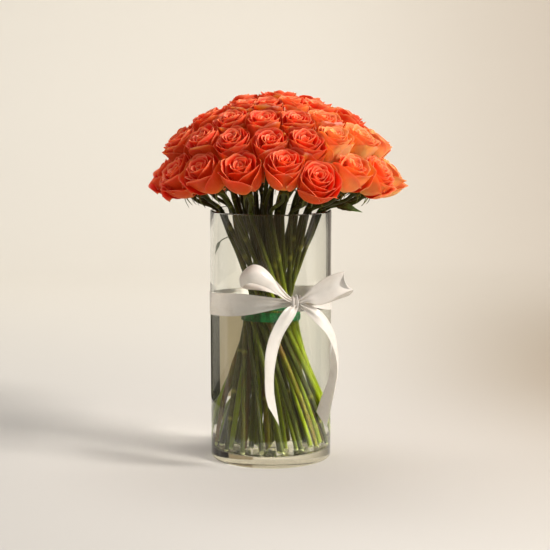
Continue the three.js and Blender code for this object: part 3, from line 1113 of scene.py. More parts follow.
@dataclass
class Bloom:
    """A rose's head: petals on a spiral, each a thin cupped blade whose rim rolls out.

    Attributes:
        rose: The rose.
        radius: The guard petals' rim radius, before the rim rolls out.
        columns: Points across a petal.
        rows: Points up a petal.
        thickness: A petal's thickness.
        lap: How far one edge of a petal stands out over the next.
        heart: The innermost petal's rim radius.
        heart_width: How wide the dip in the heart is.
        root: The height of the petals' roots.
        wrap: Half the angle that the outermost petal spans, in radians.
        tighter: How much more than that the innermost one spans.
        roll_from: How far up a petal its rim starts to roll out.
    """

    rose: Rose
    radius: float = 29.0
    columns: int = 15
    rows: int = 14
    thickness: float = 0.5
    lap: float = 1.1
    heart: float = 1.5
    heart_width: float = 5.5
    root: float = 1.2
    wrap: float = 1.04
    tighter: float = 1.15
    roll_from: float = 0.74

    def _petal(self, k: int, shape: Opening, rng: np.random.Generator) -> tuple[Array, dict[str, Any]]:
        """One petal's mid-surface. Up the petal the height fraction s runs from 0 to 1, less towards the
        sides, which rounds the rim. The radius follows (1 - (1 - s)^2.3)^p, a cup, plus a lap from one side
        to the other, a roll over the last quarter that grows towards the corners, a small tip, and waves.

        Args:
            k: The petal's number from the heart out.
            shape: The bloom's shape.
            rng: The rose's random draws.

        Returns:
            The grid of points about the bloom's own axis, and its values.
        """
        t = k / (shape.petals - 1)
        step = np.linspace(-1, 1, self.columns)
        u = ((step + np.sin(step * np.pi / 2)) / 2)[None]
        v = (1 - (1 - np.linspace(0, 1, self.rows)) ** 1.7)[:, None]
        radius = self.heart + (self.radius - self.heart) * t**shape.widening + rng.normal(0, 0.35)
        dip = shape.sink * math.exp(-((radius / self.heart_width) ** 2))
        top = shape.crown - shape.fall * radius**2 - dip + rng.normal(0, 1.1)
        half = self.wrap + self.tighter * (1 - t) ** 2 + rng.normal(0, 0.05)
        turn = math.radians(GOLDEN_ANGLE) * k + rng.normal(0, 0.14)
        outline = 0.16 + 0.16 * t
        s = v * (1 - outline * np.abs(u) ** 3.6 * (0.2 + 0.8 * v) + 0.03 * rng.normal() * u * v)
        z = self.root + (top - self.root) * s
        cup = (1 - np.clip(1 - s, 0, 1) ** 2.3) ** (0.56 + 0.5 * (1 - t)) - 0.09 * t * smooth(s, 0.6, 0.95)
        seat = 1.0 + 1.5 * t
        r = seat + (radius - seat) * cup
        r = r - 0.32 * radius * (1 - t) ** 8 * smooth(v, 0.4, 1.0)
        r = r + self.lap * u * smooth(s, 0.1, 0.8)
        curl = 2.0 + (shape.curl - 2.0) * t**1.4 + 0.8 * rng.random()
        roll = np.clip((v - self.roll_from) / (1 - self.roll_from), 0, 1)
        r = r + curl * (0.75 + 0.7 * u**2) * roll**1.9
        z = z - curl * (0.3 + 0.35 * u**2) * roll**3
        tip = (0.5 + 1.2 * t) * np.exp(-((u / 0.22) ** 2)) * roll**2
        phase, waves = rng.uniform(0, 6.28), rng.uniform(1.3, 3.6)
        wave = (0.45 + 0.6 * t) * np.sin(waves * np.pi * u + phase) * v**4
        r, z = r + 0.7 * tip + wave, z + 0.6 * tip + 0.7 * wave
        angle = np.degrees(turn + u * half * (0.6 + 0.4 * smooth(v, 0.0, 0.6)))
        aside = (1 - np.abs(u)) * half * max(radius, 3) * 0.8 + 0.6
        return at(angle, r, z), {
            "across": u + k,
            "along": v,
            "edge": np.minimum((1 - v) * top, aside),
            "high": v,
            "fresh": rng.random(),
            "tone": self.rose.tone,
            # pale: how strongly a petal's rim is paled, partly painted highlight, less on the outer petals
            "pale": (1 - 0.6 * t**1.5) * (0.45 + 0.55 * rng.random()),
        }

    def shell(self, planting: Planting) -> Shell:
        """The whole head, stood on its hip and pressed by its neighbours.

        Args:
            planting: Where all the roses stand.

        Returns:
            The head.
        """
        rose = self.rose
        rng = Draws.BLOOM.of(rose.number)
        shape = OPENINGS[rose.habit]
        petals = []
        for k in range(shape.petals):
            grid, values = self._petal(k, shape, rng)
            petals.append(Shell.blade(grid, self.thickness, values))
        head = Shell.merged(petals)
        points = head.points @ spun(90 * draw(rose.number, Feature.SPIN)).T * rose.size
        head.points = planting.squeezed(points @ standing(rose.axis).T + rose.base, rose)
        return head


# ---------------------------------------------------------------- stems, sepals and leaves


@dataclass(frozen=True)
class Leaf:
    """Where a leaf grows, and its shape.

    Attributes:
        turn: The turn of the stem that it grows from.
        place: Its root on that stem, from 0 at the tie through 1 at the shoulder to 2 at the neck.
        elbow: Where its stalk bends.
        tip: Its tip.
        face: The way that its upper face looks.
        width: Its greatest width.
        stalk: The share of its length that is stalk.
    """

    turn: float
    place: float
    elbow: tuple[float, float, float]
    tip: tuple[float, float, float]
    face: tuple[float, float, float]
    width: float
    stalk: float


class Line(NamedTuple):
    """The places that a stem runs through.

    Attributes:
        foot: Its lower end.
        waist: Its middle in the tie.
        shoulder: Where it starts to bend.
        rise: Its direction there.
        neck: Where it meets the straight neck under the bloom.
    """

    foot: Array
    waist: Array
    shoulder: Array
    rise: Array
    neck: Array


@dataclass
class Sheaf:
    """The stems, with their hips and sepals, and the leaves: rings of stems that lean round the axis, tied.

    Attributes:
        planting: Where the roses stand.
        tie_z: The height of the tie.
        tie_radius: The outer stems' distance from the axis there.
        foot_radius: Their distance from it at the foot.
        foot_z: The height of the lowest feet.
        foot_spread: How much higher the highest foot is.
        shoulder_radius: The outer stems' distance from the axis where they start to bend.
        shoulder_z: The height of that place.
        stem: A stem's radius at the foot.
        waist: Its radius in the tie.
        upper: Its radius well above the tie.
        neck: Its radius under the hip.
        hip: The hip's profile: shares of the way to the bloom, and radii.
        hip_height: The hip's height.
        hip_neck: The length of the straight neck under it.
        sides: How many sides a stem has.
        wander: How far a stem wanders from its line.
        knuckle: How far a stem swells at a node.
        knuckle_gap: The least and the greatest distance between two nodes.
        knuckle_width: Half the length of the swelling.
        thorns: How many thorns a stem's bend has.
        sepal_width: A sepal's greatest width.
        sepal_reach: How far a sepal stands out from the stem.
        sepal_drop: How far it hangs down.
        leaves: The leaves.
    """

    planting: Planting
    tie_z: float = 182.0
    tie_radius: float = 22.5
    foot_radius: float = 64.5
    foot_z: float = 15.0
    foot_spread: float = 4.0
    shoulder_radius: float = 63.0
    shoulder_z: float = 302.0
    stem: float = 3.0
    waist: float = 2.75
    upper: float = 2.45
    neck: float = 2.3
    hip: tuple = ((0.35, 2.7), (0.55, 3.6), (0.7, 4.7), (0.82, 5.2), (0.92, 5.0), (1.0, 3.64))
    hip_height: float = 7.0
    hip_neck: float = 8.0
    sides: int = 12
    wander: float = 0.8
    knuckle: float = 0.45
    knuckle_gap: tuple[float, float] = (34.0, 58.0)
    knuckle_width: float = 2.4
    thorns: int = 2
    sepal_width: float = 5.4
    sepal_reach: float = 10.0
    sepal_drop: float = 14.0
    leaves: tuple = (
        Leaf(78, 1.22, (84, -24, 311), (110.5, -24, 303.5), (0.05, -0.5, 0.85), 17.0, 0.3),
        Leaf(-80, 0.76, (-60.6, -22, 270), (-67, -12, 251.5), (-0.5, -0.8, 0.3), 5.0, 0.52),
    )

    def line(self, rose: Rose) -> Line:
        """The places that a rose's stem runs through: straight lines that touch a circle at the tie."""
        up = math.degrees(math.acos(self.tie_radius / self.shoulder_radius))
        down = math.degrees(math.acos(self.tie_radius / self.foot_radius))
        low = self.foot_z + self.foot_spread * abs(draw(rose.number, Feature.FOOT))
        foot = at(rose.slot + up + down, self.foot_radius * rose.share, low)
        waist = at(rose.slot + up, self.tie_radius * rose.share, self.tie_z)
        shoulder = at(rose.slot, self.shoulder_radius * rose.share, self.shoulder_z)
        neck = rose.base - rose.axis * (self.hip_height + self.hip_neck)
        return Line(foot, waist, shoulder, unit(shoulder - waist), neck)

    def bend(self, rose: Rose, t: Array) -> Array:
        """The stem's bend from shoulder to neck, a cubic Bezier curve that leaves and arrives straight."""
        line = self.line(rose)
        reach = np.linalg.norm(line.neck - line.shoulder)
        leaves = line.shoulder + line.rise * 0.33 * reach
        arrives = line.neck - rose.axis * 0.25 * reach
        return bezier([line.shoulder, leaves, arrives, line.neck], t)

    def _stem(self, rose: Rose) -> Shell:
        """One stem and its hip: a round tube along foot, waist, shoulder, bend and neck. Its radius has small
        bumps at the nodes, and swells into the hip as a bell under the bloom.

        Args:
            rose: The stem's rose.

        Returns:
            The stem.
        """
        rng = Draws.STEM.of(rose.number)
        line = self.line(rose)
        share = np.concatenate([[0, 0.008], np.linspace(0.03, 1, 21)[:-1]])[:, None]
        low = line.foot + (line.waist - line.foot) * share
        high = line.waist + (line.shoulder - line.waist) * np.linspace(0, 0.95, 11)[:, None]
        reach = self.hip_height + self.hip_neck
        climb, swell = np.array(self.hip).T
        hip = rose.base - rose.axis * (reach - climb * (reach - 0.3))[:, None]
        path = np.vstack([low, high, self.bend(rose, np.linspace(0, 1, 16)), hip])
        along = np.concatenate([[0], np.cumsum(np.linalg.norm(np.diff(path, axis=0), axis=1))])
        tie = along[len(low)]
        wander = self.wander * np.sin(along / rng.uniform(28, 45) + rng.uniform(0, 6))
        wander = wander * smooth(np.abs(along - tie), 5, 60) * smooth(along[-1] - along, 15, 50)
        radii = [self.stem, self.waist, self.upper, self.neck]
        radius = np.interp(along, [0, tie, tie + 110, along[-1]], radii)
        nodes = np.cumsum(rng.uniform(*self.knuckle_gap, 8)) - rng.uniform(0, 30)
        ring = np.exp(-(((along[:, None] - nodes) / self.knuckle_width) ** 2)).max(axis=1)
        ring = ring * (np.abs(along - tie) > 16)
        radius = radius * rng.uniform(0.92, 1.04) + self.knuckle * ring
        radius[-len(hip) :] = swell
        ring[-len(hip) - 1 :] = 0
        tangent = unit(np.gradient(path, axis=0))
        side = unit(np.cross(tangent, [1.0, 0.2, 0.0]))
        other = np.cross(tangent, side)
        path = path + side * wander[:, None]
        angle = np.arange(self.sides) * math.tau / self.sides
        spoke = side[:, None] * np.cos(angle)[None, :, None] + other[:, None] * np.sin(angle)[None, :, None]
        rings = path[:, None] + spoke * radius[:, None, None]
        rings[0] += tangent[0] * (2.2 * np.cos(angle + rng.uniform(0, 6)))[:, None]
        values = {
            "across": angle / math.tau + rose.number,
            "along": along[:, None],
            "tone": rng.beta(1.4, 1.3),
            "brown": rng.beta(1.0, 1.9),
            "ring": ring[:, None],
            "cut": (along == 0)[:, None],
        }
        return Shell.loft(rings, values).facing_out()

    def _thorns(self, rose: Rose) -> list[Shell]:
        """The thorns: cones of five sides, broad at the root and bent down, in the bend under the bloom.

        Args:
            rose: The stem's rose.

        Returns:
            The thorns.
        """
        rng = Draws.THORNS.of(rose.number)
        made = []
        angle = np.arange(5) * math.tau / 5
        reach, size = np.array([1.6, 3.4, 5.2])[:, None, None], np.array([1.0, 0.5, 0.06])[:, None, None]
        values = {"across": 0.0, "along": 0.0, "tone": 0.3, "brown": 0.95, "ring": 0.0, "cut": 0.0}
        for place in rng.uniform(0.05, 0.9, self.thorns):
            here, ahead = self.bend(rose, np.array([place, place + 0.02]))
            tangent = unit(ahead - here)
            out = unit(np.cross(tangent, rng.normal(size=3)))
            broad = np.cross(out, tangent)
            spoke = tangent * 1.6 * np.cos(angle)[:, None] + broad * 0.7 * np.sin(angle)[:, None]
            rings = here + out * reach - tangent * 0.12 * reach**2 + spoke * size
            made.append(Shell.loft(rings, values).facing_out())
        return made

    def _sepals(self, rose: Rose) -> list[Shell]:
        """Five sepals: narrow blades from the hip's top, out under the bloom and down beside the stem, along
        a cubic Bezier curve, tapering to a thread and curling at the end.

        Args:
            rose: The sepals' rose.

        Returns:
            The sepals.
        """
        rng = Draws.SEPALS.of(rose.number)
        made = []
        s = np.linspace(0, 1, 12)
        u = np.linspace(-1, 1, 5)
        taper = (0.7 + 0.3 * np.sin(np.pi * np.minimum(1, 2.2 * s))) * (1 - s) ** 0.8
        width = (self.sepal_width / 2 * taper + 0.1)[:, None]
        for i in range(5):
            side = standing(rose.axis) @ at(72.0 * (i + 0.5), 1.0, 0.0)
            broad = np.cross(rose.axis, side)
            drop = self.sepal_drop * (1 + 0.3 * draw(rose.number, Feature.SEPAL_DROP + i))
            tip = rose.base - rose.axis * drop + side * self.sepal_reach
            tip = tip + broad * 2 * draw(rose.number, Feature.SEPAL_ASIDE + i)
            curl = side * rng.uniform(-1, 4) + broad * rng.uniform(-2, 2)
            path = bezier(
                [
                    rose.base - rose.axis * 2.8 + side * 3.4,
                    rose.base - rose.axis * 0.5 + side * 0.85 * self.sepal_reach,
                    rose.base - rose.axis * 0.4 * drop + side * self.sepal_reach * 1.1,
                    tip + curl,
                ],
                s,
            )
            tangent = unit(np.gradient(path, axis=0))
            across = unit(np.cross(tangent, np.cross(broad, tangent)))
            face = np.cross(across, tangent)
            grid = path[:, None] + across[:, None] * (width * u)[..., None]
            grid = grid + face[:, None] * (0.25 * width * u**2)[..., None]
            ripe = 0.35 + 0.4 * rng.random() + 0.3 * s[:, None]
            values = {
                "across": u,
                "along": s[:, None] * 0.5,
                "edge": (1 - np.abs(u)) * 1.5,
                "ripe": np.clip(ripe, 0, 1),
            }
            made.append(Shell.blade(grid, 0.5, values))
        return made

    def _leaf(self, leaf: Leaf) -> Shell:
        """A leaf along a cubic Bezier curve that bends at its elbow, folded along its midrib. Its half-width
        is a sine of the way along the blade, which teeth notch.

        Args:
            leaf: Where it grows, and its shape.

        Returns:
            The leaf, with its stalk.
        """
        outer = [r for r in self.planting.roses if r.share == 1]
        rose = min(outer, key=lambda r: abs(r.slot - leaf.turn))
        line = self.line(rose)
        if leaf.place < 1:
            start = line.waist + (line.shoulder - line.waist) * leaf.place
        else:
            start = self.bend(rose, np.array([leaf.place - 1.0]))[0]
        t = np.linspace(0, 1, 61)
        middle = bezier([start, leaf.elbow, leaf.elbow, leaf.tip], t)
        tangent = unit(np.gradient(middle, axis=0))
        across = unit(np.cross(tangent, leaf.face))
        up = np.cross(across, tangent)
        blade = np.clip((t - leaf.stalk) / (1 - leaf.stalk), 0, 1)
        teeth = 1 - 0.12 * np.abs((blade * 11) % 1 - 0.2)
        stalk = 0.55 * (1 - blade) + 0.08
        half = np.maximum(0.5 * leaf.width * np.sin(np.pi * blade**0.8) * teeth, stalk)[:, None]
        u = np.array([-1, -0.8, -0.45, -0.12, 0, 0.12, 0.45, 0.8, 1])
        lift = half * (0.3 * np.abs(u) - 0.1 * u**2)
        lift = lift + 0.04 * half * np.sin(t * 40)[:, None] * np.abs(u) ** 3
        grid = middle[:, None] + across[:, None] * (half * u)[..., None] + up[:, None] * lift[..., None]
        values = {"across": u, "along": t[:, None], "edge": (1 - np.abs(u)) * half, "ripe": 0.12}
        return Shell.blade(grid, 0.6, values)

    def build(self) -> None:
        """Makes the stems with their thorns, and the green blades, as two pieces."""
        roses = self.planting.roses
        stems = [self._stem(r) for r in roses] + [t for r in roses if r.share == 1 for t in self._thorns(r)]
        Shell.merged(stems).piece("stems", StemFinish().material(), "stem_green", ["stem_bundle"])
        blades = [s for r in roses if r.share >= 0.75 for s in self._sepals(r)]
        blades += [self._leaf(leaf) for leaf in self.leaves]
        Shell.merged(blades).piece("sepals_and_leaves", LeafFinish().material(), "stem_green", [])


# ---------------------------------------------------------------- vase, water and tape


@dataclass
class Vase:
    """The glass cylinder with its thick base, the water in it, and the tape round the stems.

    Attributes:
        radius: The vase's outer radius.
        height: The vase's height.
        wall: The thickness of its wall.
        floor: The height of its floor, inside.
        dish: How much lower the floor is in its middle.
        bevel: The radius of the foot's outer corner.
        corner: The radius of the floor's inner corner.
        underside: The profile under the base, from the axis out.
        water_level: The height of the water at the wall.
        sag: How much lower the water is away from the wall.
        meniscus: How far the water climbs the wall.
        meniscus_reach: How far from the wall it does.
        bite: How far the water reaches into the glass.
        sides: How many steps the turned shapes have.
        tape_low: The height of the tape's lower edge.
        tape_high: The height of its upper edge.
        tape_radius: The tape's radius.
        tape_pitch: How far the tape climbs in a turn.
        tape_step: How far a turn stands out over the last.
        lobes: How many stems swell the tape.
        lobe: How far each does.
    """

    radius: float = 74.0
    height: float = 305.0
    wall: float = 3.5
    floor: float = 13.0
    dish: float = 0.6
    bevel: float = 2.5
    corner: float = 4.0
    underside: tuple = ((0, 1.2), (30, 0.9), (60, 0.4), (66, 0))
    water_level: float = 190.0
    sag: float = 2.0
    meniscus: float = 1.9
    meniscus_reach: float = 2.2
    bite: float = 0.12
    sides: int = 192
    tape_low: float = 172.0
    tape_high: float = 192.0
    tape_radius: float = 26.5
    tape_pitch: float = 8.0
    tape_step: float = 0.35
    lobes: int = 17
    lobe: float = 0.3

    @staticmethod
    def _corner(r: float, z: float, size: float, start: float) -> list[tuple[float, float]]:
        """A rounded corner of a profile: a quarter circle about (r, z), from an angle in degrees."""
        angles = np.radians(start + np.linspace(0, 90, 7))
        return [(r + size * math.cos(a), z + size * math.sin(a)) for a in angles]

    def glass(self) -> Shell:
        """The vase: its profile runs out under the base, up the wall, over the fire-polished rim, down inside
        and back along the floor, with every corner rounded.

        Returns:
            The vase.
        """
        inside, lip = self.radius - self.wall, self.wall / 2
        profile = list(self.underside)
        profile += self._corner(self.radius - self.bevel, self.bevel, self.bevel, -90)
        profile += [(self.radius, z) for z in np.linspace(30, 280, 6)]
        rim = [(inside + lip, self.height - lip, a) for a in np.radians(np.linspace(0, 180, 13))]
        profile += [(r + lip * math.cos(a), z + lip * math.sin(a)) for r, z, a in rim]
        profile += [(inside, z) for z in np.linspace(280, 30, 6)]
        profile += self._corner(inside - self.corner, self.floor + self.corner, self.corner, -90)[::-1]
        profile += [(40, self.floor - self.dish / 2), (0, self.floor - self.dish)]
        return Shell.turned(profile, self.sides).facing_out()

    def water(self) -> Shell:
        """The water: the inside of the vase up to its level, a hair into the glass so that no air shows
        between them, with a meniscus that climbs the wall and falls off exponentially.

        Returns:
            The water.
        """
        r = self.radius - self.wall + self.bite
        base, level = self.floor - self.bite, self.water_level - self.sag
        profile = [(0, base - self.dish), (40, base - self.dish / 2)]
        profile += self._corner(r - self.corner, base + self.corner, self.corner, -90)
        profile += [(r, z) for z in np.linspace(30, 180, 4)]
        for x in np.linspace(0, 9, 8):
            profile.append((r - x, level + self.meniscus * math.exp(-x / self.meniscus_reach)))
        profile += [(40, level), (0, level)]
        return Shell.turned(profile, self.sides).facing_out()

    def tape(self) -> Shell:
        """The tape: a ring whose radius swells over the stems under it, as a cosine, and steps where one turn
        of tape overlaps the last.

        Returns:
            The tape.
        """
        steps = self.lobes * 8
        turns = (np.arange(steps) * 360 / steps)[:, None]
        z = np.linspace(self.tape_low, self.tape_high, 25)[None]
        climb = (z - self.tape_low) / self.tape_pitch + turns / 360
        lobes = self.lobe * np.cos(np.radians(turns * self.lobes))
        outside = at(turns, self.tape_radius + 0.45 + lobes + self.tape_step * (climb % 1), z)
        inside = at(turns, self.tape_radius - 0.5 + lobes, z[:, ::-6])
        return Shell.hoop(np.concatenate([outside, inside], axis=1), {}).facing_out()

    def build(self) -> None:
        """Makes the glass, the water and the tape."""
        glass = ClearFinish("clear_glass", "#fcfdfa", "#e2ddc8", 1.5).material()
        water = ClearFinish("vase_water", "#fdfdf8", "#fdfdf8", 1.333).material()
        self.glass().piece("vase_glass", glass, "clear_glass", ["vase"])
        self.water().piece("vase_water", water, "water", ["water"])
        self.tape().piece("stem_tape", TapeFinish().material(), "tape_green", ["tie_tape"])


# ---------------------------------------------------------------- ribbon


@dataclass
class Ribbon:
    """The satin ribbon: a turn round the vase, and a bow of two loops and two tails on a knot.

    Attributes:
        width: The ribbon's width.
        thickness: Its thickness.
        vase_radius: The radius that it is wound on.
        z: The height of the band's middle, halfway round from lowest to highest.
        slope: How much higher the band is at the knot than there.
        knot_turn: The knot's turn.
        knot_z: The knot's height.
        knot_out: The distance of the knot's middle from the radius that the band is wound on.
        knot_size: Half the knot's width, depth and height.
        gather: The band's width at the knot.
        reach: How far from the knot it is gathered, in degrees.
        fold: The depth of the band's folds there.
        deepest: The greatest depth of a strand's folds.
        fade: How far from the knot a strand's folds reach.
        cup: How deep a strand cups, as a share of its width.
        flatter: How far from its end a tail starts to cup less.
        ripple: The depth of the ripples along a strand.
        ridge: The depth of the knot's folds.
        loop_left: The left loop's two edges from the knot out and back, as the part has them.
        loop_right: The right loop's.
        tail_left: The left tail's two edges from the knot down.
        tail_right: The right tail's.
    """

    width: float = 28.0
    thickness: float = 0.45
    vase_radius: float = 74.3
    z: float = 193.0
    slope: float = 7.0
    knot_turn: float = 22.5
    knot_z: float = 201.5
    knot_out: float = 5.7
    knot_size: tuple[float, float, float] = (8.2, 4.5, 7.7)
    gather: float = 9.0
    reach: float = 34.0
    fold: float = 1.1
    deepest: float = 2.6
    fade: float = 12.0
    cup: float = 0.2
    flatter: float = 40.0
    ripple: float = 0.4
    ridge: float = 1.85
    loop_left: tuple = (
        (
            (27, -75, 206), (19, -81, 210), (10, -87, 220), (2, -90, 235), (-9, -92, 246), (-20, -91, 249),
            (-28, -84, 243), (-20, -80, 240), (-5, -79, 236), (8, -78, 226), (18, -77, 214), (27, -75, 205),
        ),
        (
            (28, -76, 200), (18, -82, 205), (8, -90, 213), (-2, -95, 221), (-13, -98, 226), (-24, -98, 228),
            (-34, -93, 222), (-27, -86, 219), (-10, -84, 217), (2, -82, 214), (15, -79, 208), (28, -74, 200),
        ),
    )
    loop_right: tuple = (
        (
            (33, -76, 206), (44, -82, 217), (54, -85, 226), (66, -86, 234), (77, -84, 238), (86, -78, 239),
            (80, -73, 236), (67, -72, 230), (55, -72, 222), (44, -73, 212), (34, -73, 204),
        ),
        (
            (34, -77, 200), (45, -82, 202), (57, -84, 200), (70, -84, 205), (83, -82, 212), (97, -76, 217),
            (93, -71, 210), (78, -70, 204), (63, -70, 199), (48, -72, 198), (35, -73, 199),
        ),
    )
    tail_left: tuple = (
        (
            (28, -76, 200), (17, -86, 196), (8, -91, 184), (1, -96, 170), (-4, -100, 155), (-7, -103, 137),
            (-7, -103, 117), (-6, -102, 99), (-3, -100, 82),
        ),
        (
            (32, -75, 198), (29, -82, 188), (23, -84, 178), (15, -81, 164), (9, -79, 148), (5, -79, 131),
            (3, -79, 112), (4, -79, 93), (10, -83, 55),
        ),
    )
    tail_right: tuple = (
        (
            (33, -75, 198), (44, -84, 188), (54, -87, 178), (65, -87, 167), (72, -86, 153), (77, -83, 134),
            (78, -83, 117), (76, -83, 101), (72, -82, 80), (66, -80, 52),
        ),
        (
            (35, -75, 202), (55, -80, 195), (65, -73, 185), (71, -66, 173), (73, -61, 158), (72, -58, 138),
            (71, -56, 120), (68, -56, 104), (62, -57, 89), (55, -60, 67),
        ),
    )

    @staticmethod
    def _wound(outer: Array, inner: Array, s: Array, along: Array) -> Shell:
        """A closed turn of ribbon.

        Args:
            outer: The grid of its outer face, of (turn, across, 3).
            inner: The grid of its inner face.
            s: The way across it, from -1 to 1.
            along: The way along it, in widths.

        Returns:
            The turn.
        """
        ring = np.concatenate([outer, inner[:, ::-1]], axis=1)
        across = (np.concatenate([s, s[:, ::-1]], axis=1) + 1) / 2
        return Shell.hoop(ring, {"across": across, "along": along, "side": 1.0}).facing_out()

    def band(self) -> Shell:
        """The turn round the vase. Towards the knot its width shrinks from the full width to the gather as a
        bell curve, and folds take up what is lost, a wave across it that swells on the same curve.

        Returns:
            The band.
        """
        away = np.linspace(-180, 180, 289)[:-1, None]
        near = np.exp(-((away / self.reach) ** 2))
        half = (self.width + (self.gather - self.width) * near) / 2
        middle = self.z + self.slope * np.cos(np.radians(away)) + near
        s = np.linspace(-1, 1, 25)[None]
        folds = near**0.8 * self.fold * (1 - np.cos(s * np.pi * 3)) / 2
        folds = folds + 0.12 * near * np.sin(9 * s + away / 9)
        belly = 0.075 * (1 - s**2) * (1 - near)
        z = middle + half * s * (1 + 0.02 * np.sin(np.radians(away) * 5))
        outer = at(self.knot_turn + away, self.vase_radius + self.thickness + folds + belly, z)
        inner = at(self.knot_turn + away, self.vase_radius + folds * 0.9, z)
        return self._wound(outer, inner, s, np.radians(away) * self.vase_radius / self.width)

    def strand(self, edges: tuple, tail: bool) -> tuple[Shell, float]:
        """A strand between the curves of its two edges. It cups a little, and near the knot it is folded: a
        wave across it that fades with the way from the knot.

        Args:
            edges: The points of its two edges.
            tail: Whether it ends free, so that only its start is folded.

        Returns:
            The strand, and its length.
        """
        t = np.linspace(0, 1, 97)
        one, other = (catmull_rom(e, t) for e in edges)
        middle, broad = (one + other) / 2, other - one
        step = np.linalg.norm(np.diff(middle, axis=0), axis=1)
        far = np.concatenate([[0], np.cumsum(step)])[:, None]
        length = float(far[-1, 0])
        knot = np.exp(-far / self.fade)
        if not tail:
            knot = knot + np.exp(-(length - far) / self.fade)
        knot = np.minimum(1, knot)
        s = np.linspace(0, 1, 19)[None]
        grid = one[:, None] + broad[:, None] * s[..., None]
        face = unit(np.cross(np.gradient(middle, axis=0), broad))
        wide = np.linalg.norm(broad, axis=1)[:, None]
        slack = np.sqrt(np.maximum(0, (self.width / wide) ** 2 - 1))
        fold = np.minimum(self.deepest, wide * slack * math.sqrt(2) / (4 * np.pi))
        fold = knot * fold * np.cos(s * np.pi * 4 + 0.6)
        cup = self.cup * wide * np.sin(np.pi * s) * (1 - knot)
        if tail:
            cup = cup * smooth(length - far, 0, self.flatter)
        ripple = self.ripple * np.sin(far / 11 + 2.2 * s) * (1 - knot)
        grid = grid + face[:, None] * (fold + cup + ripple)[..., None]
        return Shell.blade(grid, self.thickness, {"across": s, "along": far / self.width}), length

    def knot(self) -> tuple[Shell, float]:
        """The knot: the ribbon wound once over the middle of the bow, from top to bottom. Its section is an
        ellipse that closes in at both sides as a fourth power. Folds, a wave across it, take up its width.

        Returns:
            The knot, and the length of the turn.
        """
        way = (np.arange(64) * math.tau / 64)[:, None]
        s = np.linspace(-1, 1, 49)[None]
        wide, deep, tall = self.knot_size
        close = 1 - 0.5 * s**4
        ridge = self.ridge * np.cos(s * 9.6 + 0.5 + 0.4 * np.sin(way)) * (1 - 0.3 * s**2)
        side = wide * s * (1 - 0.14 * np.cos(way) ** 2)
        centre = at(self.knot_turn, self.vase_radius + self.knot_out, self.knot_z)

        def face(inset: float) -> Array:
            """One face of the ribbon, moved in by a distance."""
            y = -(deep * close + ridge - inset) * np.sin(way)
            z = (tall * close + ridge - inset) * np.cos(way)
            return np.stack(np.broadcast_arrays(side, y, z), axis=-1) @ spun(self.knot_turn).T + centre

        girth = math.tau * math.sqrt((deep**2 + tall**2) / 2)
        return self._wound(face(0), face(0.5), s, way * 0.22), girth

    def build(self) -> None:
        """Makes the band, knot, loops and tails, all of one satin, and logs the length of ribbon in the loops
        and in the tails.
        """
        satin = SatinFinish().material()
        band = self.band().piece("ribbon_round", satin, "satin", ["ribbon_band"])
        shell, turn = self.knot()
        knot = shell.piece("bow_knot", satin, "satin", ["ribbon_bow"])
        strands = (
            ("bow_loops", (self.loop_left, self.loop_right), False, "folded"),
            ("bow_tails", (self.tail_left, self.tail_right), True, "hung"),
        )
        for name, both, tail, held in strands:
            made = [self.strand(edges, tail) for edges in both]
            length = sum(size for _, size in made)
            piece = Shell.merged([shell for shell, _ in made]).piece(name, satin, "satin", [])
            length * MM
            LOG.info("%s: ribbon of %.0f mm", name, length)


# ---------------------------------------------------------------- studio


